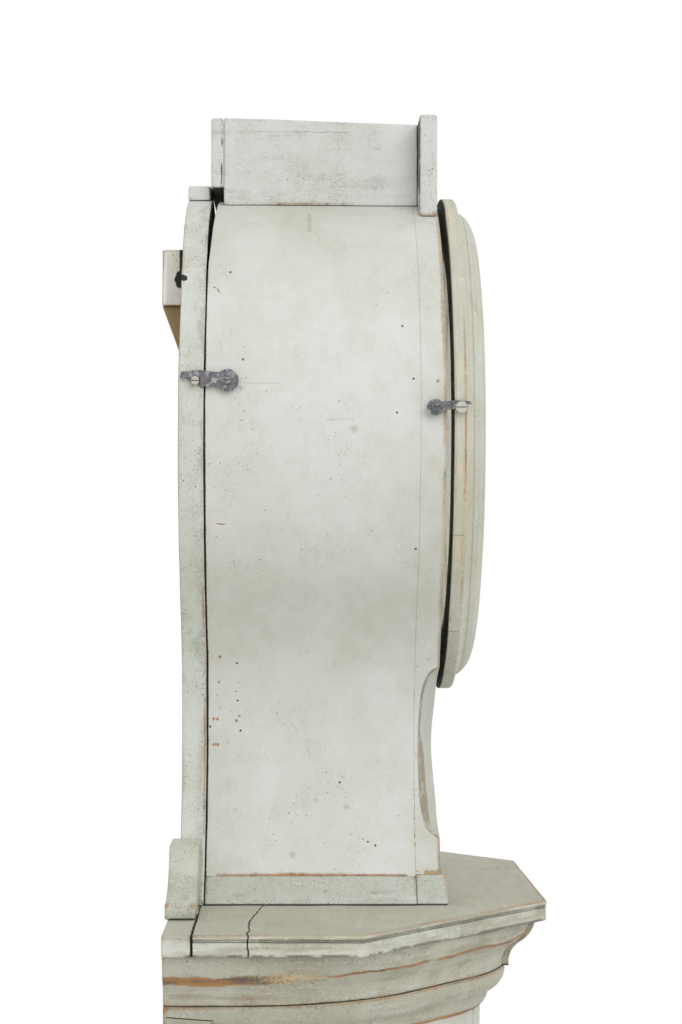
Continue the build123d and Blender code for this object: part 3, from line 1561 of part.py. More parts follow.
with BuildPart() as pendulum_bob:
    with BuildSketch(Plane.XY.offset(bob_z)):
        with BuildLine():
            axis_y = y_at(pendulum_depth)
            Line((0, axis_y - bob_thickness / 2), (0, axis_y + bob_thickness / 2))
            for turn in (-1, 1):
                ThreePointArc(
                    (0, axis_y + turn * bob_thickness / 2),
                    (bob_radius * 0.6, axis_y + turn * bob_thickness * 0.34),
                    (bob_radius, axis_y + turn * bob_rim / 2),
                )
            Line((bob_radius, axis_y - bob_rim / 2), (bob_radius, axis_y + bob_rim / 2))
        make_face()
    revolve(axis=Axis((0, axis_y, bob_z), (0, 1, 0)))
    with BuildSketch(Plane.XY.offset(bob_z - bob_radius)):
        with Locations((0, axis_y)):
            Rectangle(rod_width + rod_slack, rod_thickness + rod_slack)
    extrude(amount=2 * bob_radius, mode=Mode.SUBTRACT)
finish(pendulum_bob, "pendulum_bob")

for side, name in ((1, "going"), (-1, "strike")):
    with BuildPart() as weight:
        with BuildSketch(Plane.XY.offset(weight_top - weight_height)):
            with Locations((side * line_x, y_at(weight_depth))):
                Circle(weight_radius)
        extrude(amount=weight_height)
        fillet(weight.edges().filter_by(GeomType.CIRCLE), weight_rounding)
        with BuildSketch(Plane.XY.offset(weight_top)):
            with Locations((side * line_x, y_at(weight_depth))):
                Circle(weight_eye)
        extrude(amount=weight_eye_height)
    finish(weight, name + "_weight")
    with BuildPart() as line:
        with BuildSketch(Plane.XY.offset(weight_top + weight_eye_height)):
            with Locations((side * line_x, y_at(weight_depth))):
                Circle(line_radius)
        extrude(amount=going_spot[1] - weight_top - weight_eye_height)
    finish(line, name + "_line")
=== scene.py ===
"""A mora clock's looks: old distressed paint on pine, forged iron, brass and glass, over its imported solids."""
import json
from math import cos, pi, radians, sin

import bmesh
import bpy
from mathutils import Matrix, Vector, noise

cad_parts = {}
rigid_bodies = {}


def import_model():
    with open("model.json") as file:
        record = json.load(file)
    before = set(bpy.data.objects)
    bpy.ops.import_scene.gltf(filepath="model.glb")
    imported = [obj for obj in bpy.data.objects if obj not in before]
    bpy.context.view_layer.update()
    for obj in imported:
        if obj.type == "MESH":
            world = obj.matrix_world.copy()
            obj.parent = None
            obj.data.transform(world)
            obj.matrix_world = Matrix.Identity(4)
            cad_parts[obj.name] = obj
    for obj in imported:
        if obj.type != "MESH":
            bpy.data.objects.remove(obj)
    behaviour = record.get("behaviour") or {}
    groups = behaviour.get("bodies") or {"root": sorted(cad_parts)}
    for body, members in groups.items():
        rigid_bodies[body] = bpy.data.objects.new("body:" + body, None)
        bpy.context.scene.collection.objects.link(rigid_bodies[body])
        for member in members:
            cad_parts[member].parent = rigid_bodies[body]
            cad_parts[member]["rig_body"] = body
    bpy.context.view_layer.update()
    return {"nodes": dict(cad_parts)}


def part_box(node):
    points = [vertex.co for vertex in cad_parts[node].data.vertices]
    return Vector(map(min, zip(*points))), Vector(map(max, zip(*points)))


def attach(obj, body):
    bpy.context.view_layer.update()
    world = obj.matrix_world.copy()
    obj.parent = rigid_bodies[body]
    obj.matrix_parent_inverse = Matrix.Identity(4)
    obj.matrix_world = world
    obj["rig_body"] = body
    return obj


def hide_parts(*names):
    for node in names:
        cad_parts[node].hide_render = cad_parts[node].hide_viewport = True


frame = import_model()


# ---- Base: five boards mitred round a canted plan, with a floor board inside ----
# Pine, painted pale grey-green long ago and worn through to brown wood along its edges.
# The boards are glued and nailed at their mitres and stand on the floor.

BASE_ROUNDING = 0.0014
PALE_PAINT = (207, 210, 200)
WARM_STAIN = (187, 187, 169)
CHALK = (228, 230, 226)
GRIME = (136, 138, 122)
DUST = (98, 98, 88)
CREVICE_SHADE = (36, 34, 30)
SPECK = (52, 46, 38)
PRIMER = (206, 190, 152)
WORN_WOOD = (182, 134, 86)
OLD_WOOD = (112, 98, 88)
PINE_LIGHT = (150, 128, 88)
PINE_DARK = (104, 82, 52)
UPRIGHT_GRAIN = (1, 1, 0.12)
CLOUD_SCALE = 7.0
PATCH_SCALE = 15.0
MOTTLE_SCALE = 46.0
RUBBING_SCALE = 75.0
STROKE_SCALE = 170.0
FLECK_SCALE = 170.0
FINE_SCALE = 420.0
SPECKLE_SCALE = 800.0
CORNER_REACH = 0.02
EDGE_REACH = 0.005
PAINT_RELIEF = 0.0007
WELD_DISTANCE = 1e-6
FLAT_ANGLE = 0.4
CORNER_ANGLE = 32.0
SMOOTH_ANGLE = 38.0
PLANE_WAVE_SCALE = 22.0
PLANE_RIPPLE_SCALE = 75.0
PLANE_SEED = 1


def colour(levels):
    """Linear colour of 8-bit levels."""
    return (*(((level / 255 + 0.055) / 1.055) ** 2.4 if level > 10 else level / 3294.6 for level in levels), 1.0)


class Field:
    """A number or colour that varies over a surface: one socket among a material's nodes."""

    def __init__(self, tree, socket=None):
        self.tree = tree
        self.socket = socket

    def node(self, kind, settings=None, inputs=None, output=0):
        """One node of a kind, with its settings made first, then the values or links of its sockets."""
        made = self.tree.nodes.new("ShaderNode" + kind)
        for name, value in (settings or {}).items():
            setattr(made, name, value)
        for name, value in (inputs or {}).items():
            if isinstance(value, Field):
                self.tree.links.new(value.socket, made.inputs[name])
            else:
                made.inputs[name].default_value = value
        return Field(self.tree, made.outputs[output])

    def maths(self, operation, first, second=0.0):
        """A Math node on two numbers or fields."""
        return self.node("Math", {"operation": operation}, {0: first, 1: second})

    def __add__(self, other):
        return self.maths("ADD", self, other)

    def __sub__(self, other):
        return self.maths("SUBTRACT", self, other)

    def __mul__(self, other):
        return self.maths("MULTIPLY", self, other)

    def __rsub__(self, other):
        return self.maths("SUBTRACT", other, self)

    def __abs__(self):
        return self.maths("ABSOLUTE", self)

    def __or__(self, other):
        return self.maths("MAXIMUM", self, other)

    __radd__ = __add__
    __rmul__ = __mul__

    def root(self):
        """Square root."""
        return self.maths("SQRT", self)

    def step(self, low, high):
        """Rises smoothly from 0 to 1 between two values; falls where high is the smaller."""
        if high > low:
            return self.node("MapRange", {"interpolation_type": "SMOOTHSTEP"},
                             {"Value": self, "From Min": low, "From Max": high})
        return 1.0 - self.step(high, low)

    def between(self, first, second):
        """Colour that goes from the first to the second as this goes from 0 to 1."""
        return self.node("Mix", {"data_type": "RGBA"}, {0: self, 6: first, 7: second}, 2)

    def noise(self, scale, detail=4.0, roughness=0.6, stretch=(1, 1, 1)):
        """Cloudy noise over this place; stretch slows it along a direction."""
        place = self.node("VectorMath", {"operation": "MULTIPLY"}, {0: self, 1: stretch})
        return self.node("TexNoise", None, {"Vector": place, "Scale": scale, "Detail": detail, "Roughness": roughness})

    def sides(self):
        """The three numbers of this place."""
        return [self.node("SeparateXYZ", None, {0: self}, axis) for axis in range(3)]


def new_material(name):
    """An empty material, the starting point for its fields, and the place of each of its points."""
    made = bpy.data.materials.new(name)
    made.use_nodes = True
    made.node_tree.nodes.clear()
    start = Field(made.node_tree)
    return made, start, start.node("TexCoord", None, None, 3)


def surface(start, **sockets):
    """Principled surface with these socket values, joined to the material's output."""
    shader = start.node("BsdfPrincipled", None, {name.replace("_", " "): value for name, value in sockets.items()})
    made = start.tree.nodes.new("ShaderNodeOutputMaterial")
    start.tree.links.new(shader.socket, made.inputs["Surface"])


def raised(start, height, strength, depth):
    """Bump of a height field; depth is in metres."""
    return start.node("Bump", None, {"Strength": strength, "Distance": depth, "Height": height})


def laid_over(skin, layers):
    """A colour with others laid over it in turn, each where its mask is 1."""
    for mask, tone in layers:
        skin = mask.between(skin, colour(tone))
    return skin


def crevice(start, reach):
    """Near 1 in inner corners and gaps."""
    return 1.0 - start.node("AmbientOcclusion", {"samples": 6}, {"Distance": reach}, 1)


def rubbed_edge(start, reach):
    """Highest, about a half, along outer edges."""
    return 1.0 - start.node("AmbientOcclusion", {"samples": 8, "inside": True, "only_local": True},
                            {"Distance": reach}, 1)


def pine_colour(place, grain):
    """Unpainted old pine: brown, streaked along the grain."""
    figure = place.noise(60.0, 5.0, 0.65, tuple(0.08 if share < 1 else 1.0 for share in grain))
    soft = place.noise(8.0, 2.0)
    return (figure * 0.8 + soft * 0.4).step(0.35, 0.85).between(colour(PINE_LIGHT), colour(PINE_DARK))


def painted(name, tint=PALE_PAINT, stain=WARM_STAIN, grain=UPRIGHT_GRAIN, wear=0.5, grime=0.5, reach=EDGE_REACH,
            crevice_shade=0.85, rub=None, raw=None, marks=None, joined=None):
    """Distressed oil paint, stained, dusty and flecked, and worn to the wood on its outer edges.

    wear, grime and the strength of the painted shade in inner corners and gaps go from 0 to 1. rub and raw add worn
    and bare places, marks lays single colours over the coat, and joined keeps wear off a seam.
    """
    made, start, place = new_material(name)
    apart = place.sides()
    cloud = place.noise(CLOUD_SCALE, 4.0, 0.6)
    mottle = place.noise(MOTTLE_SCALE, 6.0, 0.75)
    fine = place.noise(FINE_SCALE, 4.0, 0.7)
    strokes = place.noise(STROKE_SCALE, 4.0, 0.65, grain)
    patches = place.noise(PATCH_SCALE, 5.0, 0.68)
    rubbings = place.noise(RUBBING_SCALE, 6.0, 0.8, grain)
    speckle = place.noise(SPECKLE_SCALE, 2.0, 0.6)
    dots = start.node("TexVoronoi", {"feature": "F1"}, {"Vector": place, "Scale": FLECK_SCALE, "Randomness": 1.0})
    corner = crevice(start, CORNER_REACH)
    edge = rubbed_edge(start, reach)
    near_edge = edge * 0.5 + corner * 0.55 + patches * 0.75

    stained = (cloud * 0.7 + mottle * 0.5 + patches * 0.35 + strokes * 0.15).step(0.68, 1.12)
    chalky = (strokes * 0.55 + fine * 0.5 + mottle * 0.25).step(0.64, 0.86)
    smeared = (patches * 0.75 + mottle * 0.35 + fine * 0.3 + corner * 0.3).step(1.0 - 0.2 * grime, 1.22 - 0.2 * grime)
    dusty = (fine * 0.7 + mottle * 0.55).step(0.66, 0.82) * near_edge.step(0.5, 0.85)
    speckled = speckle.step(0.58, 0.66) * (mottle + near_edge * 0.4).step(0.66 - 0.1 * grime, 0.86 - 0.1 * grime)
    rubbed = rubbings.step(0.52, 0.72) * mottle.step(0.36, 0.58)
    flecked = dots.step(0.12, 0.06) * patches.step(0.52, 0.6)
    coat = laid_over(stained.between(colour(tint), colour(stain)), [
        (chalky * 0.55, CHALK), (smeared * (0.1 + 0.6 * grime), GRIME), (dusty * (0.15 + 0.7 * grime), DUST),
        (speckled * (0.2 + 0.6 * grime), DUST), (rubbed * (0.65 * grime * grime), GRIME), (flecked * 0.85, SPECK)])

    worn = (edge * 1.5 + patches * 0.9 + fine * 0.22).step(1.33 - 0.42 * wear, 1.45 - 0.42 * wear)
    worn = worn * (1.0 - corner.step(0.3, 0.5))
    if joined:
        worn = worn * (1.0 - joined(apart))
    if rub:
        worn = worn | rub(place, apart, patches, fine)
    timber = (mottle * 0.7 + strokes * 0.6).step(0.58, 0.8).between(colour(WORN_WOOD), colour(OLD_WOOD))
    timber = (cloud + fine * 0.4).step(0.78, 0.92).between(timber, colour(PRIMER))
    skin = worn.between(coat, timber)
    bare = worn
    if raw:
        never_painted = raw(place, apart, patches, fine)
        skin = never_painted.between(skin, pine_colour(place, grain))
        bare = worn | never_painted
    if marks:
        skin = laid_over(skin, marks(place, apart, patches, fine))
    # Painted shade: inner corners and gaps are darkened towards black.
    skin = laid_over(skin, [(corner.step(0.5, 0.66) * crevice_shade, CREVICE_SHADE)])

    height = mottle * 0.5 + fine * 0.35 + strokes * 0.4 - bare * 0.7 - flecked * 0.6
    surface(start, Base_Color=skin, Roughness=0.56 + mottle * 0.16 + bare * 0.14,
            Normal=raised(start, height, 0.35, PAINT_RELIEF))
    return made


def eased(node, rounding, spacing=0.02, ripple=0.0003):
    """A hand-planed copy of a solid, to stand in place of the plain node.

    Its edges are rubbed round, and its faces are cut every spacing metres and made uneven by about ripple metres.
    """
    shape = bmesh.new()
    shape.from_mesh(frame["nodes"][node].data)
    bmesh.ops.remove_doubles(shape, verts=shape.verts, dist=WELD_DISTANCE)
    bmesh.ops.dissolve_limit(shape, angle_limit=radians(FLAT_ANGLE), verts=shape.verts, edges=shape.edges)
    edges = [e for e in shape.edges if len(e.link_faces) == 2 and e.calc_face_angle(0.0) > radians(CORNER_ANGLE)]
    bmesh.ops.bevel(shape, geom=edges, offset=rounding, offset_type="OFFSET", segments=3, profile=0.5,
                    affect="EDGES", clamp_overlap=False)
    low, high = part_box(node)
    for axis in range(3):
        normal = Vector([float(axis == other) for other in range(3)])
        count = int((high[axis] - low[axis]) / spacing)
        for cut in range(1, count):
            bmesh.ops.bisect_plane(shape, geom=shape.verts[:] + shape.edges[:] + shape.faces[:],
                                   plane_co=low.lerp(high, cut / count), plane_no=normal, dist=WELD_DISTANCE)
    for vertex in shape.verts:
        wave = noise.noise_vector(vertex.co * PLANE_WAVE_SCALE) * ripple
        vertex.co += wave + noise.noise_vector(vertex.co * PLANE_RIPPLE_SCALE) * ripple * 0.4
    mesh = bpy.data.meshes.new(node + "_eased")
    shape.to_mesh(mesh)
    shape.free()
    mesh.shade_smooth()
    mesh.set_sharp_from_angle(angle=radians(SMOOTH_ANGLE))
    piece = bpy.data.objects.new(node + "_eased", mesh)
    bpy.context.scene.collection.objects.link(piece)
    piece.modifiers.new("even_shading", "WEIGHTED_NORMAL").keep_sharp = True
    return piece


def dress(piece, node, material):
    """Finishes a piece that stands for a node: material and body."""
    piece.data.materials.clear()
    piece.data.materials.append(material)
    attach(piece, frame["nodes"][node]["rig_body"])
    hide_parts(node)


noise.seed_set(PLANE_SEED)
dress(eased("base_panels", BASE_ROUNDING), "base_panels", painted("base_paint", wear=0.55, grime=0.7))


# ---- Skirting and base moulding: what the base wears at its foot and its head ----
# The skirting is a planed board bevelled at its top, mitred round the plan and nailed to the base.
# The moulding slopes from the base up to the rounded foot of the trunk.

BASE_TRIM_ROUNDING = 0.0012

dress(eased("plinth_skirting", BASE_TRIM_ROUNDING), "plinth_skirting",
      painted("skirting_paint", wear=0.75, grime=0.9))
dress(eased("base_moulding", BASE_TRIM_ROUNDING), "base_moulding",
      painted("base_moulding_paint", wear=0.7, grime=0.7))


# ---- Trunk: a front board and two corner boards bent to an hourglass ----
# Thin pine staves glued on shaped ribs and planed smooth, then painted in one with their joints.
# The corner boards meet the front board in a hairline joint at each side of the door.

TRUNK_ROUNDING = 0.0009
TRUNK_SPACING = 0.03

for node in ("trunk_front", "trunk_side_left", "trunk_side_right"):
    dress(eased(node, TRUNK_ROUNDING, TRUNK_SPACING), node, painted(node + "_paint", wear=0.35, grime=0.45))


# ---- Back board: one wide board behind the trunk and the hood, with its cap and the wall batten ----
# Its edges are painted and worn; its back was never painted and shows old brown pine.
# The batten is nailed on to keep the head off the wall, and its underside is raw.

BOARD_TINT = (214, 217, 210)
BOARD_STAIN = (198, 200, 184)
# The batten's paint is lighter than the board's: painted light that offsets the shade it stands in behind the board.
BATTEN_LIT_TINT = (246, 247, 240)
BATTEN_LIT_STAIN = (238, 238, 222)
EAR_TINT = (206, 208, 194)
EAR_STAIN = (172, 172, 152)
SOOT = (120, 122, 108)
YELLOWED_PAINT = (214, 196, 130)
LIGHT_PINE = (182, 158, 112)
NOTCH_BLACK = (14, 13, 12)
LEVEL_GRAIN = (0.12, 1, 1)
BOARD_FRONT = 0.1175
NECK_FOOT = (1.40, 1.46)
NECK_HEAD = (1.68, 1.62)
BATTEN_FOOT = 1.861
BATTEN_GAP = 0.1414
BATTEN_GAP_FOOT = 1.882
BATTEN_NOTCH = ((0.1425, 1.8815), (0.1412, 1.8850), (0.1412, 1.8775))
BOARD_NOTCH = ((0.1365, 1.8738), (0.1347, 1.8730))


def looks_backwards(place):
    """How far a face looks backwards: 1 for the back, -1 for the front."""
    return place.node("SeparateXYZ", None, {0: place.node("NewGeometry", None, None, 1)}, 1)


def turned_sideways(place):
    """1 on faces that don't look forwards."""
    return (0.0 - looks_backwards(place)).step(0.75, 0.45)


def on_left(x):
    """1 on the half towards -x."""
    return x.step(0.0, -0.01)


def frayed(mottling, width):
    """A shift, as wide as width, that makes the edge of a mask uneven."""
    return (mottling - 0.5) * width


def nearest(place, points):
    """Distance, in the side view, to the nearest of some points (y, z)."""
    flat = place.node("VectorMath", {"operation": "MULTIPLY"}, {0: place, 1: (0, 1, 1)})
    found = None
    for point in points:
        away = flat.node("VectorMath", {"operation": "DISTANCE"}, {0: flat, 1: (0, *point)}, 1)
        found = away if found is None else found.maths("MINIMUM", found, away)
    return found


def raw_back(place, apart, patches, fine):
    """Bare where the face looks backwards."""
    return (looks_backwards(place) + patches * 0.3).step(0.86, 0.98)


def raw_wedge(place, apart, patches, fine):
    """Bare on the wedge under the batten, and behind."""
    under = (apart[2] + frayed(fine, 0.001)).step(BATTEN_FOOT, BATTEN_FOOT - 0.001)
    return under | raw_back(place, apart, patches, fine)


def board_rub(place, apart, patches, fine):
    """Orange wood along the board's front edge beside the neck."""
    y, z = apart[1:]
    near = (y - BOARD_FRONT + frayed(fine, 0.002) + frayed(patches, 0.006)).step(0.0030, 0.0016)
    beside_neck = z.step(*NECK_FOOT) * z.step(*NECK_HEAD)
    bared = (place.noise(22.0, 3.0) * 0.8 + fine * 0.3).step(0.46, 0.58)
    return near * beside_neck * turned_sideways(place) * bared * 0.85


def board_marks(place, apart, patches, fine):
    """Dark smears along the crack, yellow remnants near the top and the notch's share."""
    x, y, z = apart
    smears = place.noise(60.0, 5.0, 0.7, (1, 1, 0.25))
    sooty = (y - BOARD_FRONT).step(0.011, 0.002) * (smears * 0.8 + fine * 0.35).step(0.52, 0.74) * 0.5
    yellowed = (smears + patches * 0.3).step(0.76, 0.82) * z.step(1.78, 1.84) * 0.4
    notch = (nearest(place, BOARD_NOTCH) + frayed(fine, 0.002)).step(0.0030, 0.0022) * on_left(x)
    return [(sooty, SOOT), (yellowed, YELLOWED_PAINT), (notch, NOTCH_BLACK)]


def batten_marks(place, apart, patches, fine):
    """A lighter wedge, and the dark notch where the batten's end grain has broken away at the board."""
    y, z = apart[1:]
    notch = (nearest(place, BATTEN_NOTCH) + frayed(fine, 0.002)).step(0.0040, 0.0030)
    gap = (y + frayed(fine, 0.0008)).step(BATTEN_GAP + 0.0009, BATTEN_GAP)
    gap = gap * z.step(BATTEN_GAP_FOOT - 0.001, BATTEN_GAP_FOOT)
    return [(raw_wedge(place, apart, patches, fine) * 0.6, LIGHT_PINE), (notch | gap, NOTCH_BLACK)]


dress(eased("back_board", rounding=0.0014), "back_board",
      painted("back_board_paint", BOARD_TINT, BOARD_STAIN, wear=0.45, grime=0.85, raw=raw_back, rub=board_rub,
              marks=board_marks))
dress(eased("back_board_cap", rounding=0.0016, spacing=0.012), "back_board_cap",
      painted("cap_paint", BOARD_TINT, BOARD_STAIN, wear=0.3, grime=0.9))
dress(eased("wall_batten", rounding=0.0012), "wall_batten",
      painted("batten_paint", BATTEN_LIT_TINT, BATTEN_LIT_STAIN, LEVEL_GRAIN, wear=0.2, grime=0.2, crevice_shade=0.2,
              raw=raw_wedge, marks=batten_marks))
dress(eased("back_board_ears", rounding=0.0022, spacing=0.01, ripple=0.0005), "back_board_ears",
      painted("ear_paint", EAR_TINT, EAR_STAIN, wear=0.6, grime=1.0))


# ---- Shoulder: a canted plate with a moulded edge, and the rail behind it ----
# Pine boards with a rounded lip over a groove, worn to orange wood all along the lip.
# The rail is glued on behind and has shrunk away, which leaves the crack in the edge, and the plate has split.

SHOULDER_TINT = (190, 191, 176)
SHOULDER_STAIN = (176, 172, 150)
TOP_SHADE = (166, 160, 140)
EDGE_PALE_AND_LIT = (226, 228, 216)
EDGE_DIRT = (146, 142, 124)
BRUISE = (98, 86, 84)
CRACK_BLACK = (30, 27, 24)
SHOULDER_TOP = 1.380
SHOULDER_FOOT = 1.364
SHOULDER_JOINT = 0.120
SPLIT_PLACE = 0.0795
SPLIT_BEND_START = -0.24
SPLIT_BEND = 0.115


def shoulder_edge(apart):
    """Wear stays on the top of the lip."""
    return apart[2].step(SHOULDER_TOP - 0.0008, SHOULDER_TOP - 0.0018)


def shoulder_marks(place, apart, patches, fine):
    """The open joint behind the plate, the split across its near end, its streaked and bruised edge, painted shade on
    the top and painted light on the edge.
    """
    x, y, z = apart
    wander = frayed(place.noise(55.0, 3.0), 0.006)
    joint = abs(y - SHOULDER_JOINT + wander * 0.3).step(0.0013, 0.0007) * x.step(-0.20, -0.21)
    bend = (x - SPLIT_BEND_START) * SPLIT_BEND | 0.0
    split = abs(y - SPLIT_PLACE + bend + wander).step(0.0009, 0.0004) * x.step(-0.14, -0.16)
    bruised = (z + frayed(fine, 0.001)).step(SHOULDER_FOOT + 0.0028, SHOULDER_FOOT + 0.0014)
    bruised = bruised * (place.noise(45.0, 3.0) + fine * 0.3).step(0.54, 0.68) * 0.75
    # Painted shade: the top of the plate is darker, as the light falls on it less.
    top = z.step(SHOULDER_TOP - 0.0014, SHOULDER_TOP - 0.0004)
    drawn = place.noise(70.0, 5.0, 0.7, (0.12, 0.12, 1)) * 0.7 + patches * 0.35
    # The pale streaks on the edge are partly painted light, lifting the lip out of the shade of its groove.
    pale = (1.0 - top) * drawn.step(0.48, 0.62) * 0.6
    dirty = (1.0 - top) * drawn.step(0.54, 0.40) * 0.45
    return [(top * 0.3, TOP_SHADE), (pale, EDGE_PALE_AND_LIT), (dirty, EDGE_DIRT), (bruised, BRUISE),
            (joint | split, CRACK_BLACK)]


dress(eased("shoulder_plate", rounding=0.0016, ripple=0.0004), "shoulder_plate",
      painted("shoulder_paint", SHOULDER_TINT, SHOULDER_STAIN, LEVEL_GRAIN, wear=0.5, grime=0.9, crevice_shade=0.12,
              marks=shoulder_marks, joined=shoulder_edge))
dress(eased("shoulder_back_rail", rounding=0.0018, ripple=0.0004), "shoulder_back_rail",
      painted("shoulder_rail_paint", SHOULDER_TINT, SHOULDER_STAIN, LEVEL_GRAIN, wear=0.6, grime=1.0,
              marks=shoulder_marks))


# ---- Shoulder mouldings: an ogee in three lengths over a bead and cove ----
# Run with moulding planes, mitred round the trunk's corners and nailed up under the plate.
# Hands have rubbed the middle of the ogee and the bead's lower edge through to the wood.

OGEE_TINT = (196, 196, 180)
OGEE_STAIN = (170, 164, 140)
BEAD_TINT = (188, 188, 172)
BEAD_STAIN = (166, 162, 138)
BROWN_DIRT = (136, 116, 86)
MOULDING_CRACK = (42, 38, 32)
BEAD_CRACK = (60, 54, 46)
ROUND_GRAIN = (0.12, 0.12, 1)
OGEE_RUB_HEIGHT = 1.342
OGEE_RUB_START = 0.137
OGEE_RUB_RISE = 0.028
OGEE_HEAD = 1.3632
OGEE_FOOT = 1.3236
BEAD_CRACKS = (((0.141, 1.3155), (0.104, 1.3125), 0.0007), ((0.108, 1.3105), (0.076, 1.3072), 0.0006))


def streak(apart, first, last, width):
    """A thin line in the side view from one point (y, z) to another."""
    reach = Vector(last) - Vector(first)
    length = reach.length
    ahead = reach / length
    y, z = apart[1] - first[0], apart[2] - first[1]
    along = y * ahead.x + z * ahead.y
    across = abs(y * ahead.y - z * ahead.x)
    return across.step(width, width * 0.4) * along.step(0.0, 0.002) * along.step(length, length - 0.002)


def ogee_rub(place, apart, patches, fine):
    """A wavy rubbed band along the middle of the ogee: broad near the back, a line further on."""
    y, z = apart[1:]
    wave = place.noise(16.0, 3.0)
    rise = (OGEE_RUB_START - y) * OGEE_RUB_RISE
    away = abs(z - OGEE_RUB_HEIGHT - rise + frayed(wave, 0.012) + frayed(fine, 0.003))
    broad = away.step(0.0050, 0.0030) * (y + frayed(wave, 0.1)).step(0.03, 0.05)
    line = away.step(0.0016, 0.0008) * (patches * 0.8 + fine * 0.35).step(0.34, 0.5)
    return broad * (patches * 0.7 + fine * 0.5).step(0.3, 0.5) | line


def ogee_marks(place, apart, patches, fine):
    """Brown dirt drawn out along the moulding, and the cracks at its head and foot."""
    z = apart[2]
    drawn = place.noise(70.0, 5.0, 0.7, (0.06, 0.06, 1))
    brown = (drawn * 0.8 + patches * 0.45).step(0.62, 0.82) * 0.5
    head = (z + frayed(drawn, 0.004)).step(OGEE_HEAD - 0.0014, OGEE_HEAD) * 0.8
    foot = (z + frayed(drawn, 0.003) + frayed(patches, 0.004)).step(OGEE_FOOT + 0.001, OGEE_FOOT) * 0.9
    return [(brown, BROWN_DIRT), (head | foot, MOULDING_CRACK)]


def bead_marks(place, apart, patches, fine):
    """Short slanting cracks under the near end."""
    first, second = [streak(apart, *crack) for crack in BEAD_CRACKS]
    return [((first | second) * on_left(apart[0]), BEAD_CRACK)]


for node in ("ogee_sides", "ogee_front"):
    dress(eased(node, rounding=0.0009), node,
          painted(node + "_paint", OGEE_TINT, OGEE_STAIN, ROUND_GRAIN, wear=0.55, grime=0.9, rub=ogee_rub,
                  marks=ogee_marks))
dress(eased("bead_cove_moulding", rounding=0.0008), "bead_cove_moulding",
      painted("bead_paint", BEAD_TINT, BEAD_STAIN, ROUND_GRAIN, wear=0.72, grime=0.85, marks=bead_marks))


# ---- Trunk door, with its butt hinges, lock and key ----
# A pine board with a planted bead, hung on two iron butts and shut by a small box lock.
# The iron was black once and is brown and rubbed now.

BLACK_IRON = (86, 84, 88)
KEY_IRON = (120, 116, 112)
RUST = (104, 84, 68)
PAINT_ON_IRON = (190, 190, 188)
IRON_RELIEF = 0.0005


def forged(name, tone=BLACK_IRON, paint_left=0.0):
    """Old forged iron with rubbed spots and a thin, scratched remnant of pale paint."""
    made, start, place = new_material(name)
    pits = place.noise(500.0, 5.0, 0.7)
    cloud = place.noise(140.0, 3.0)
    rust = (cloud * 0.8 + pits * 0.35).step(0.7, 0.82)
    left = (place.noise(260.0, 5.0, 0.72) + pits * 0.25).step(0.86 - 0.3 * paint_left, 1.0 - 0.3 * paint_left)
    metal = (pits * 0.6 + cloud * 0.5).step(0.4, 0.75).between(colour(tone), colour([level * 0.66 for level in tone]))
    skin = laid_over(metal, [(rust * 0.4, RUST), (left * 0.75, PAINT_ON_IRON)])
    surface(start, Base_Color=skin, Metallic=0.4 - left * 0.4, Roughness=0.55 + pits * 0.25,
            Normal=raised(start, pits + left * 0.5, 0.6, IRON_RELIEF))
    return made


def paint_node(node, material):
    """Gives a kept solid its material."""
    mesh = frame["nodes"][node].data
    mesh.materials.clear()
    mesh.materials.append(material)


dress(eased("trunk_door", rounding=0.0014), "trunk_door", painted("trunk_door_paint", wear=0.75, grime=0.5))
door_iron = forged("door_iron", paint_left=0.6)
for node in ("trunk_frame_leaves", "trunk_door_leaves", "trunk_lock", "lock_bolt"):
    paint_node(node, door_iron)
paint_node("door_key", forged("key_iron", KEY_IRON))


# ---- Seat, plates and train of the movement ----
# The seat is bare pine. The plates, wheels and bell are cast brass, gone brown; arbors run in the plates.
# The hammer, the anchor and the cocks are iron.

YELLOW_BRASS = (176, 138, 72)
BELL_METAL = (168, 140, 92)
BOB_BRASS = (186, 146, 74)
BROWN_BLOOM = (112, 84, 44)
GREY_IRON = (104, 102, 102)
PINE_RELIEF = 0.0006


def cast_brass(name, tone=YELLOW_BRASS):
    """Aged brass with a brown bloom in its corners."""
    made, start, place = new_material(name)
    bloom = place.noise(60.0, 4.0, 0.6)
    lines = place.noise(900.0, 2.0, 0.5, (1, 1, 0.1))
    dull = (bloom + crevice(start, 0.008) * 0.5).step(0.5, 0.8)
    surface(start, Base_Color=dull.between(colour(tone), colour(BROWN_BLOOM)), Metallic=1.0,
            Roughness=0.26 + bloom * 0.2 + lines * 0.08)
    return made


def bare_pine(name, grain=UPRIGHT_GRAIN):
    """Unpainted pine inside the case."""
    made, start, place = new_material(name)
    surface(start, Base_Color=pine_colour(place, grain), Roughness=0.78,
            Normal=raised(start, place.noise(160.0, 4.0, 0.6, grain), 0.3, PINE_RELIEF))
    return made


dress(eased("movement_seat", rounding=0.001), "movement_seat", bare_pine("seat_pine"))
movement_brass = cast_brass("movement_brass")
for node in ("movement_plates", "movement_pillars", "going_barrel", "strike_barrel", "centre_wheel", "third_wheel",
             "escape_wheel", "minute_wheel", "hour_wheel"):
    paint_node(node, movement_brass)
paint_node("bell", cast_brass("bell_metal", BELL_METAL))
movement_iron = forged("movement_iron", GREY_IRON)
for node in ("movement_cocks", "hammer", "anchor", "pendulum_rod"):
    paint_node(node, movement_iron)
paint_node("pendulum_bob", cast_brass("bob_brass", BOB_BRASS))


# ---- Weights on their lines ----
# Two cast-iron cylinders hang from gut lines wound on the barrels.
# Each line is one twisted cord, stretched as its weight falls.

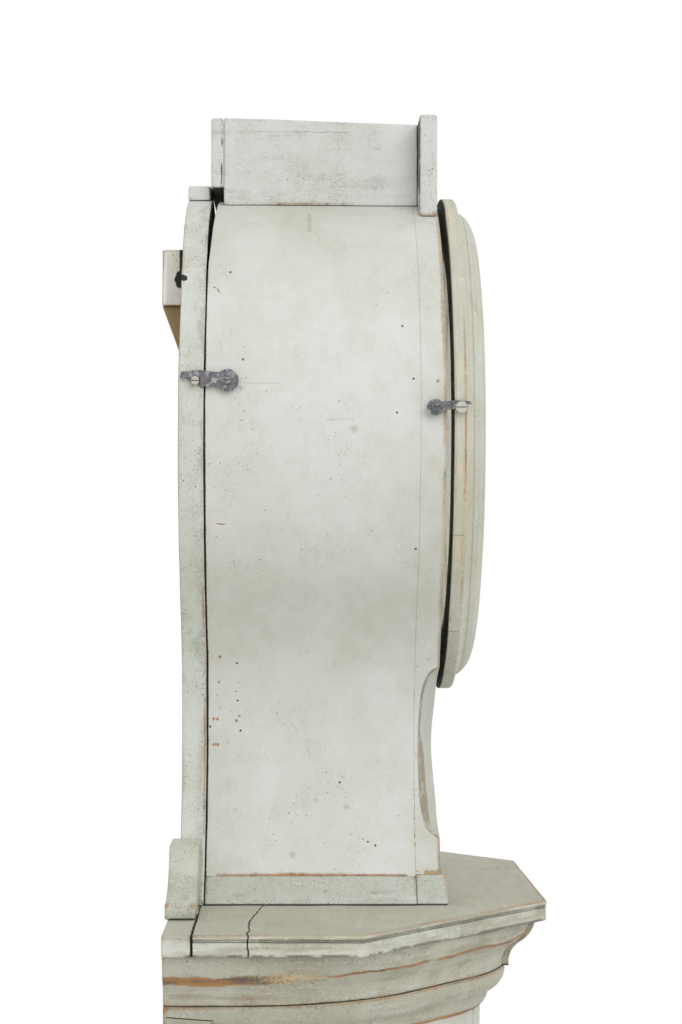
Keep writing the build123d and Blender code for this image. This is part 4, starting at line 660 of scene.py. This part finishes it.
CAST_IRON = (74, 72, 72)
GUT_DARK = (118, 94, 60)
GUT_LIGHT = (168, 142, 98)
TWIST_RISE = 2600.0
TWIST_LEAN = 1500.0


def gut_line(name):
    """Twisted gut: a fine spiral of light and dark."""
    made, start, place = new_material(name)
    apart = place.sides()
    twist = start.maths("SINE", apart[2] * TWIST_RISE + apart[0] * TWIST_LEAN)
    surface(start, Base_Color=twist.step(-0.6, 0.8).between(colour(GUT_DARK), colour(GUT_LIGHT)), Roughness=0.7)
    return made


weight_iron = forged("weight_iron", CAST_IRON)
line_gut = gut_line("line_gut")
for side in ("going", "strike"):
    paint_node(side + "_weight", weight_iron)
    paint_node(side + "_line", line_gut)


# ---- Dial and hands ----
# A sheet-iron dial painted cream, with plain numbers, a minute ring and two winding holes.
# The hands are blackened steel, pressed on their pipes.

DIAL_CREAM = (226, 219, 196)
DIAL_YELLOWED = (196, 180, 142)
CRAZING_BROWN = (120, 100, 74)
IRON_UNDER_DIAL = (70, 58, 48)
PRINT_BLACK = (34, 32, 32)
HAND_BLACK = (30, 30, 34)
PRINT_WORN = (116, 104, 86)
HOUR_RING = 0.118
MINUTE_RING = 0.146
INNER_RING = 0.1375
MINUTE_NUMBER_RING = 0.154
RING_STEPS = 120
RING_HALF_WIDTH = 0.0003
FIVE_MARK = (0.0011, 0.0075)
MINUTE_MARK = (0.0006, 0.0045)
NUMBER_HEIGHT = 0.034
SMALL_HEIGHT = 0.010
PRINT_THICKNESS = 0.00015
dial_low, dial_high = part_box("dial")
dial_centre = Vector((0.0, dial_low.y - PRINT_THICKNESS, (dial_low.z + dial_high.z) / 2))


def dial_cream(name):
    """Cream oil paint on sheet iron, crazed and yellowed towards its rim."""
    made, start, place = new_material(name)
    centred = place.node("VectorMath", {"operation": "SUBTRACT"}, {0: place, 1: dial_centre})
    away = centred.node("VectorMath", {"operation": "LENGTH"}, {0: centred}, 1)
    cloud = place.noise(12.0, 5.0, 0.65)
    crazing = start.node("TexVoronoi", {"feature": "DISTANCE_TO_EDGE"}, {"Vector": place, "Scale": 70.0})
    cracks = crazing.step(0.03, 0.008) * cloud.step(0.45, 0.6) * 0.35
    chips = (place.noise(90.0, 5.0, 0.7) + away * 0.5).step(0.76, 0.79)
    coat = (cloud + away * 3.0).step(0.7, 1.15).between(colour(DIAL_CREAM), colour(DIAL_YELLOWED))
    surface(start, Base_Color=laid_over(coat, [(cracks, CRAZING_BROWN), (chips, IRON_UNDER_DIAL)]),
            Roughness=0.42 + cloud * 0.2)
    return made


def thin_black(name, tone):
    """Black oil paint, thin enough to show a little wear."""
    made, start, place = new_material(name)
    thin = place.noise(260.0, 4.0, 0.7).step(0.62, 0.75) * 0.6
    surface(start, Base_Color=thin.between(colour(tone), colour(PRINT_WORN)), Roughness=0.5)
    return made


def on_dial(angle, radius):
    """Point on the dial's face; the angle runs clockwise from twelve."""
    return dial_centre + Vector((sin(angle) * radius, 0.0, cos(angle) * radius))


def dial_number(number, angle, radius, height):
    """One upright number, as a mesh on the dial's face."""
    letters = bpy.data.curves.new("number", "FONT")
    letters.body = str(number)
    letters.align_x = "CENTER"
    letters.align_y = "CENTER"
    letters.size = height
    letters.extrude = PRINT_THICKNESS / 2
    letters.resolution_u = 3
    piece = bpy.data.objects.new("number", letters)
    mesh = bpy.data.meshes.new_from_object(piece)
    mesh.transform(Matrix.Translation(on_dial(angle, radius)) @ Matrix.Rotation(pi / 2, 4, "X"))
    bpy.data.objects.remove(piece)
    bpy.data.curves.remove(letters)
    return mesh


printing = bmesh.new()
for hour in range(1, 13):
    printing.from_mesh(dial_number(hour, hour * pi / 6, HOUR_RING, NUMBER_HEIGHT))
for five in range(1, 13):
    printing.from_mesh(dial_number(five * 5, five * pi / 6, MINUTE_NUMBER_RING, SMALL_HEIGHT))
for minute in range(60):
    angle = minute * pi / 30
    width, length = MINUTE_MARK if minute % 5 else FIVE_MARK
    turned_mark = Matrix.Translation(on_dial(angle, MINUTE_RING - length / 2)) @ Matrix.Rotation(angle, 4, "Y")
    sized_mark = Matrix.Diagonal((width, PRINT_THICKNESS, length, 1.0))
    bmesh.ops.create_cube(printing, size=1.0, matrix=turned_mark @ sized_mark)
for ring in (MINUTE_RING, INNER_RING):
    corners = []
    for turn in range(RING_STEPS):
        angle = turn * 2 * pi / RING_STEPS
        radii = ring - RING_HALF_WIDTH, ring + RING_HALF_WIDTH
        corners.append([printing.verts.new(on_dial(angle, radius)) for radius in radii])
    for turn in range(RING_STEPS):
        first, second = corners[turn], corners[(turn + 1) % RING_STEPS]
        printing.faces.new((first[0], first[1], second[1], second[0]))
bmesh.ops.recalc_face_normals(printing, faces=printing.faces)
print_mesh = bpy.data.meshes.new("dial_print")
printing.to_mesh(print_mesh)
printing.free()
dial_print = bpy.data.objects.new("dial_print", print_mesh)
bpy.context.scene.collection.objects.link(dial_print)
print_mesh.materials.append(thin_black("print_paint", PRINT_BLACK))
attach(dial_print, "case")

paint_node("dial", dial_cream("dial_cream"))
hand_black = thin_black("hand_black", HAND_BLACK)
for node in ("hour_hand", "minute_hand"):
    paint_node(node, hand_black)


# ---- Hood: a front board and a bent sheet over a rib, with rails at its foot ----
# Sawn pine boards with a thin sheet bent round them, painted in one. It slides off forwards.
# Its front edge and the top of its rails are rubbed to the wood, and nail holes show in the sheet.

HOOD_TINT = (220, 222, 218)
HOOD_STAIN = (208, 209, 197)
RAIL_TINT = (198, 200, 190)
RAIL_STAIN = (178, 178, 162)
HOOD_DIRT_AND_SHADE = (186, 184, 162)
PLANED_FACET_SHADE = (176, 180, 164)
RUBBED_TONE = (145, 131, 109)
SEAM_TONE = (176, 148, 100)
STAIN_TONE = (150, 146, 116)
DRIP_TONE = (140, 144, 124)
SCRATCH_TONE = (150, 148, 126)
RUST_TONE = (166, 122, 84)
HOLE_TONE = (52, 42, 34)
OPEN_JOINT_AND_SHADE = (24, 23, 21)
RAIL_JOINT = (30, 30, 30)
HOOD_FRONT = -0.0703
HOOD_SEAM = -0.0503
HOOD_BACK = 0.117
RAIL_FOOT = 1.380
RIDGE_HEIGHT = 1.4975
RIDGE_HALF = 0.068
RIDGE_DEPTH = 0.0158
RUBBED_HEIGHT = 1.472
NAIL_HOLES = ((0.0984, 1.8789), (0.0874, 1.8060), (-0.0447, 1.7913), (-0.0318, 1.7647), (-0.0365, 1.8337),
              (-0.0476, 1.6600), (0.0928, 1.5687), (0.0925, 1.5383), (0.0901, 1.5139), (0.1148, 1.5170),
              (0.0097, 1.4724), (-0.0126, 1.4262), (-0.0185, 1.4234))
RUST_CHIPS = ((0.1075, 1.5534), (0.1065, 1.5740), (0.1118, 1.5235), (0.1090, 1.5232), (0.0933, 1.5220),
              (0.0913, 1.5256), (0.1111, 1.5026), (0.1085, 1.5026), (-0.0636, 1.7895))
RUST_STREAKS = (((0.1128, 1.8657), (0.1085, 1.8650), 0.0009), ((0.1090, 1.8655), (0.1060, 1.8599), 0.0009),
                ((0.1085, 1.6790), (0.1000, 1.6782), 0.0008))
SCRATCHES = (((0.0402, 1.7713), (0.0493, 1.7617), 0.0008), ((0.0493, 1.5205), (0.0438, 1.5127), 0.0012),
             ((0.0864, 1.7872), (0.0579, 1.7874), 0.0006), ((0.0231, 1.7592), (-0.0004, 1.7593), 0.0006))
STAINS = ((0.0290, 1.4585), (0.0043, 1.4532), (0.0481, 1.4166), (0.0012, 1.7521), (0.0895, 1.7833))
DRIP = ((0.0357, 1.9391), (0.0357, 1.9169), 0.0022)


def streaks(apart, lines):
    """Several streaks in one mask."""
    found = streak(apart, *lines[0])
    for line in lines[1:]:
        found = found | streak(apart, *line)
    return found


def hood_dirt(apart, patches, fine):
    """Grease near the top, painted shade in a band across the hollow, and dirt from hands in front and soot behind."""
    y, z = apart[1:]
    mottled = (patches * 0.6 + fine * 0.4).step(0.32, 0.62)
    clouded = patches * 0.7 + fine * 0.3
    greasy = z.step(1.82, 1.96) * (clouded.step(0.36, 0.62) * 0.35 + 0.22)
    # Painted shade: a darker band across the hollow of the bent side.
    hollow_band_shade = z.step(1.54, 1.59) * z.step(1.66, 1.61) * clouded.step(0.3, 0.6) * 0.4
    handled = (y - HOOD_FRONT).step(0.045, 0.004) * mottled * 0.4
    sooty = y.step(0.06, 0.112) * z.step(1.56, 1.47) * mottled * 0.4
    return greasy | hollow_band_shade | handled | sooty


def neck_marks(place, apart, patches, fine):
    """Painted shade on the planed facet of the neck, which faces forwards, and the brown band rubbed along its ridge.
    """
    y, z = apart[1:]
    rise = (z - RIDGE_HEIGHT) * (1.0 / RIDGE_HALF)
    bulge = 1.0 - rise * rise * rise * rise | 0.0
    ridge = y - HOOD_FRONT - bulge.root() * RIDGE_DEPTH
    # Painted shade: the planed facet faces forwards and is darker than the side.
    planed = ridge.step(0.0, -0.0006) * z.step(1.40, 1.43) * z.step(1.57, 1.56) * 0.55
    breadth = abs(z - RUBBED_HEIGHT).step(0.045, 0.015) * 0.0046 + 0.0022 + frayed(patches, 0.003)
    rubbed = ridge.step(0.0012, 0.0004) * (ridge + breadth + frayed(fine, 0.0015)).step(-0.0004, 0.0004)
    scuffed = (place.noise(55.0, 5.0, 0.7) * 0.75 + fine * 0.35).step(0.38, 0.54) * 0.9
    rubbed = rubbed * (turned_sideways(place) | bulge.step(0.3, 0.6)) * z.step(1.59, 1.57) * scuffed
    return [(planed, PLANED_FACET_SHADE), (rubbed, RUBBED_TONE)]


def hood_marks(place, apart, patches, fine):
    """Dirt, painted shade and the neck's wear all round; nail holes, rust chips, scratches and stains on the side
    towards -x.
    """
    x, y, z = apart
    near_side = x.step(-0.06, -0.07)
    rust = (nearest(place, RUST_CHIPS) + frayed(fine, 0.003)).step(0.0017, 0.0008) | streaks(apart, RUST_STREAKS)
    scratch = streaks(apart, SCRATCHES) * fine.step(0.35, 0.6) * 0.45
    holes = (nearest(place, NAIL_HOLES) + frayed(fine, 0.0008)).step(0.0011, 0.0006)
    stain = (nearest(place, STAINS) + frayed(fine, 0.006) + frayed(patches, 0.008)).step(0.004, 0.001) * 0.4
    drip = streak(apart, *DRIP) * 0.35
    seam = abs(y - HOOD_SEAM).step(0.0009, 0.0004) * z.step(1.478, 1.47)
    seam = seam * (place.noise(120.0, 3.0) * 0.8 + fine * 0.3).step(0.52, 0.64) * 0.7
    return [(hood_dirt(apart, patches, fine), HOOD_DIRT_AND_SHADE), *neck_marks(place, apart, patches, fine),
            (stain * near_side, STAIN_TONE), (drip * near_side, DRIP_TONE), (scratch * near_side, SCRATCH_TONE),
            (seam * near_side, SEAM_TONE), (rust * near_side * 0.9, RUST_TONE), (holes * near_side, HOLE_TONE)]


def sheet_marks(place, apart, patches, fine):
    """The hood's marks, under the dark open joint at its back edge and painted shade, in black, in the hollow below
    the crown.
    """
    x, y, z = apart
    edge = (y - HOOD_BACK + frayed(patches, 0.002) + frayed(fine, 0.0006)).step(-0.0013, -0.0007) * on_left(x)
    # Painted shade: the hollow under the crown is made black.
    hollow = z.step(1.9545, 1.9560) * y.step(0.1070, 0.1078)
    return hood_marks(place, apart, patches, fine) + [(edge | hollow, OPEN_JOINT_AND_SHADE)]


def hood_joined(apart):
    """No wear beside the glued seam, nor at the sheet's covered back edge."""
    return abs(apart[1] - HOOD_SEAM).step(0.0075, 0.006) | apart[1].step(0.107, 0.110)


def front_rub(place, apart, patches, fine):
    """Worn strip along the hood's front edge, broken into patches."""
    near = (apart[1] - HOOD_FRONT + frayed(fine, 0.004) + frayed(patches, 0.006)).step(0.0036, 0.0014)
    return near * (place.noise(14.0, 3.0) + fine * 0.3).step(0.52, 0.64) * turned_sideways(place) * 0.6


def rail_foot(apart):
    """No wear where the rails stand on the plate."""
    return apart[2].step(RAIL_FOOT + 0.009, RAIL_FOOT + 0.006)


def rail_marks(place, apart, patches, fine):
    """The dark joint under the rails."""
    return [((apart[2] + frayed(fine, 0.0006)).step(RAIL_FOOT + 0.0017, RAIL_FOOT + 0.0010) * 0.95, RAIL_JOINT)]


dress(eased("hood_sheet", rounding=0.0004), "hood_sheet",
      painted("hood_sheet_paint", HOOD_TINT, HOOD_STAIN, wear=0.1, grime=0.35, crevice_shade=0.2, marks=sheet_marks,
              joined=hood_joined))
dress(eased("hood_front_board", rounding=0.0005), "hood_front_board",
      painted("hood_front_paint", HOOD_TINT, HOOD_STAIN, wear=0.5, grime=0.4, crevice_shade=0.2, rub=front_rub,
              marks=hood_marks, joined=hood_joined))
dress(eased("hood_rails", rounding=0.0014, ripple=0.0004), "hood_rails",
      painted("hood_rail_paint", RAIL_TINT, RAIL_STAIN, ROUND_GRAIN, wear=0.75, grime=1.0, marks=rail_marks,
              joined=rail_foot))
dress(eased("hood_back_rib", rounding=0.0008, spacing=0.03), "hood_back_rib", bare_pine("rib_pine"))


# ---- Crown: a plain open box that stands on top of the hood ----
# Two side boards and a taller back board, with a wider board nailed on in front.
# Its joints have opened and show black.

CROWN_TINT = (213, 215, 211)
CROWN_STAIN = (198, 199, 188)
CROWN_PAINTED_LIGHT = (240, 241, 237)
HOLLOW_SHADE = (8, 8, 7)
CROWN_CRACK = (96, 92, 76)
CROWN_JOINT = (38, 35, 30)
CROWN_BACK_JOINT = 0.1088
CROWN_FRONT_JOINT = -0.0549
CROWN_TOP_CRACK = 2.0103


def crown_marks(place, apart, patches, fine):
    """Black opened joints, a hairline crack near the top, painted light on a strip in front and painted shade in the
    hollow behind.
    """
    x, y, z = apart
    wander = frayed(place.noise(90.0, 4.0), 0.0022)
    back_joint = abs(y - CROWN_BACK_JOINT + wander).step(0.0009, 0.0004)
    front_joint = abs(y - CROWN_FRONT_JOINT + wander * 0.7).step(0.0009, 0.0004)
    broken = (place.noise(30.0, 3.0) + fine * 0.3).step(0.5, 0.64) * on_left(x)
    length = y.step(0.0, 0.01) * y.step(0.085, 0.075) * (patches + fine * 0.5).step(0.55, 0.85)
    crack = abs(z - CROWN_TOP_CRACK + wander * 1.4).step(0.0006, 0.0002) * length
    # Painted light: a lighter strip near the front board offsets the shade there.
    painted_light = y.step(-0.015, -0.052) * y.step(-0.056, -0.0545) * 0.6
    # Painted shade: the hollow behind is made black.
    hollow = z.step(1.9645, 1.9625) * y.step(0.1062, 0.1072)
    return [(painted_light, CROWN_PAINTED_LIGHT), (hollow, HOLLOW_SHADE), (crack * 0.6, CROWN_CRACK),
            ((back_joint | front_joint) * broken * 0.9, CROWN_JOINT)]


dress(eased("crown_box", rounding=0.0014, spacing=0.012, ripple=0.0004), "crown_box",
      painted("crown_paint", CROWN_TINT, CROWN_STAIN, ROUND_GRAIN, wear=0.2, grime=0.9, crevice_shade=0.25, marks=crown_marks))
dress(eased("crown_front", rounding=0.0022, spacing=0.012, ripple=0.0004), "crown_front",
      painted("crown_front_paint", CROWN_TINT, CROWN_STAIN, wear=0.2, grime=0.95, marks=crown_marks))


# ---- Round door: a ring sawn in segments, turned to a moulding, with its glass ----
# The rim stands proud and is rubbed to orange wood along its edge; a fine line shows each joint.
# The glass is old and slightly uneven, and sits in a rebate behind the ring.

DOOR_TINT = (200, 200, 187)
DOOR_STAIN = (186, 182, 160)
LINE_DARK = (160, 162, 142)
LINE_PALE = (214, 214, 202)
GROOVE_SHADE = (136, 132, 108)
RIM_YELLOW_AND_HIGHLIGHT = (222, 212, 172)
SEGMENT_JOINT = (120, 112, 92)
GLASS_TINT = (214, 220, 216)
DOOR_CENTRE = (0.0, 0.0, 1.7537)
DOOR_RIM_FRONT = -0.0848
DOOR_GROOVE = -0.0925
DOOR_JOINT_HEIGHTS = (1.6704, 1.5947)
GLASS_WAVE = 0.002


def rim_rub(place, apart, patches, fine):
    """Worn line along the front edge of the door's rim, at its side."""
    y, z = apart[1:]
    away = abs(y - DOOR_RIM_FRONT + frayed(fine, 0.0014))
    side = z.step(1.60, 1.66) * z.step(1.86, 1.80)
    return away.step(0.0012, 0.0005) * (place.noise(9.0, 3.0) + fine * 0.3).step(0.5, 0.62) * side * 0.85


def door_marks(place, apart, patches, fine):
    """Turning lines, painted shade in the groove, a yellow rim band that is partly a painted highlight, and fine
    segment joints.
    """
    x, y, z = apart
    centred = place.node("VectorMath", {"operation": "SUBTRACT"}, {0: place, 1: DOOR_CENTRE})
    flat = centred.node("VectorMath", {"operation": "MULTIPLY"}, {0: centred, 1: (1, 0, 1)})
    radius = flat.node("VectorMath", {"operation": "LENGTH"}, {0: flat}, 1)
    around = place.node("CombineXYZ", None, {0: radius, 1: y, 2: 0.0})
    lines = around.noise(300.0, 3.0, 0.6)
    # Painted shade along the groove of the moulding.
    groove = abs(y - DOOR_GROOVE).step(0.0006, 0.0002) * 0.5
    on_rim = y.step(DOOR_RIM_FRONT - 0.0002, DOOR_RIM_FRONT + 0.0004)
    # The yellow band on the rim is yellowed paint and partly a painted highlight.
    yellowed = on_rim * (around.noise(260.0, 2.0) * 0.6 + patches * 0.5).step(0.5, 0.66) * z.step(1.60, 1.68) * 0.75
    first, second = [abs(z - height + frayed(fine, 0.001)).step(0.0007, 0.0003) for height in DOOR_JOINT_HEIGHTS]
    return [(lines.step(0.5, 0.7) * 0.35, LINE_DARK), (lines.step(0.48, 0.34) * 0.3, LINE_PALE),
            (groove, GROOVE_SHADE), (yellowed, RIM_YELLOW_AND_HIGHLIGHT),
            ((first | second) * on_rim * on_left(x) * 0.5, SEGMENT_JOINT)]


def old_glass(name):
    """Clear cylinder glass with a faint wave, thin enough to leave the dial lit."""
    made, start, place = new_material(name)
    surface(start, Base_Color=colour(GLASS_TINT), Roughness=0.03, Alpha=0.14, IOR=1.45,
            Normal=raised(start, place.noise(14.0, 2.0), 0.08, GLASS_WAVE))
    return made


dress(eased("door_ring", rounding=0.0007, spacing=0.03, ripple=0.0002), "door_ring",
      painted("door_paint", DOOR_TINT, DOOR_STAIN, wear=0.35, grime=0.6, rub=rim_rub, marks=door_marks))
paint_node("door_glass", old_glass("old_glass"))
for node in ("hood_hinge_leaves", "door_hinge_leaves"):
    paint_node(node, door_iron)


# ---- Iron hooks and their screws ----
# Each hook is forged from a rod with a flattened eye, painted over more than once and chipped.
# The screws that they catch are slotted and still painted.

HOOK_IRON = (124, 123, 127)
SCREW_TINT = (200, 200, 192)

hook_iron = forged("hook_iron", HOOK_IRON, paint_left=0.8)
for node in ("back_hook_left", "back_hook_right", "door_hook", "hook_pivot_screws"):
    paint_node(node, hook_iron)
screw_paint = painted("screw_paint", SCREW_TINT, wear=0.1, grime=1.0, reach=0.001)
for node in ("back_catch_screws", "door_catch_screw"):
    paint_node(node, screw_paint)


# ---- Floor, light and camera ----
# A pale sweep of floor, a broad soft lamp above the viewer and an even white surround.
# The surround is white to the eye, in reflections and through the glass, and lights the clock a little less.

FLOOR_TINT = (232, 232, 230)
FLOOR_RADIUS = 2.6
FLOOR_DROP = 0.0005
SURROUND_LEVEL = 0.78
LAMP_POWER = 34.0
LAMP_SIZE = 2.4
LAMP_PLACE = (-2.6, -1.3, 3.4)
LAMP_AIM = (0, 0, 1.3)
CAMERA_PLACE = (-1.9344, 0.0483, 1.6267)
CAMERA_YAW = 0.0214
CAMERA_PITCH = 0.0353
CAMERA_ROLL = 0.0027
FOCAL_LENGTH = 78.91
SENSOR_WIDTH = 36.0
FAR_CLIP = 50.0

floor_shape = bmesh.new()
bmesh.ops.create_circle(floor_shape, cap_ends=True, segments=128, radius=FLOOR_RADIUS)
floor_mesh = bpy.data.meshes.new("floor")
floor_shape.to_mesh(floor_mesh)
floor_shape.free()
floor = bpy.data.objects.new("floor", floor_mesh)
floor.location.z = -FLOOR_DROP
bpy.context.scene.collection.objects.link(floor)
floor_paint, floor_start = new_material("floor_paint")[:2]
surface(floor_start, Base_Color=colour(FLOOR_TINT), Roughness=0.6)
floor_mesh.materials.append(floor_paint)

world = bpy.data.worlds.new("surround")
bpy.context.scene.world = world
world.use_nodes = True
world.node_tree.nodes.clear()
sky = Field(world.node_tree)
camera_ray, glossy_ray, transmission_ray = [sky.node("LightPath", None, None, output) for output in (0, 3, 6)]
level = (camera_ray | glossy_ray | transmission_ray) * (1.0 - SURROUND_LEVEL) + SURROUND_LEVEL
backdrop = sky.node("Background", None, {"Color": (1.0, 1.0, 1.0, 1.0), "Strength": level})
ending = sky.tree.nodes.new("ShaderNodeOutputWorld")
sky.tree.links.new(backdrop.socket, ending.inputs["Surface"])

lamp = bpy.data.lights.new("key_lamp", "AREA")
lamp.energy = LAMP_POWER
lamp.size = LAMP_SIZE
key_lamp = bpy.data.objects.new("key_lamp", lamp)
key_lamp.location = LAMP_PLACE
key_lamp.rotation_euler = (Vector(LAMP_AIM) - Vector(LAMP_PLACE)).to_track_quat("-Z", "Y").to_euler()
bpy.context.scene.collection.objects.link(key_lamp)


def turned(first, second, angle):
    """Two directions turned in their own plane."""
    return first * cos(angle) + second * sin(angle), second * cos(angle) - first * sin(angle)


forward, right, up = Vector((1, 0, 0)), Vector((0, -1, 0)), Vector((0, 0, 1))
forward, right = turned(forward, right, CAMERA_YAW)
forward, up = turned(forward, up, CAMERA_PITCH)
right, up = turned(right, up, CAMERA_ROLL)
lens = bpy.data.cameras.new("camera")
lens.lens = FOCAL_LENGTH
lens.sensor_width = SENSOR_WIDTH
lens.clip_end = FAR_CLIP
camera = bpy.data.objects.new("camera", lens)
camera.matrix_world = Matrix.Translation(CAMERA_PLACE) @ Matrix((right, up, -forward)).transposed().to_4x4()
bpy.context.scene.collection.objects.link(camera)
bpy.context.scene.camera = camera
bpy.context.scene.view_settings.view_transform = "Standard"
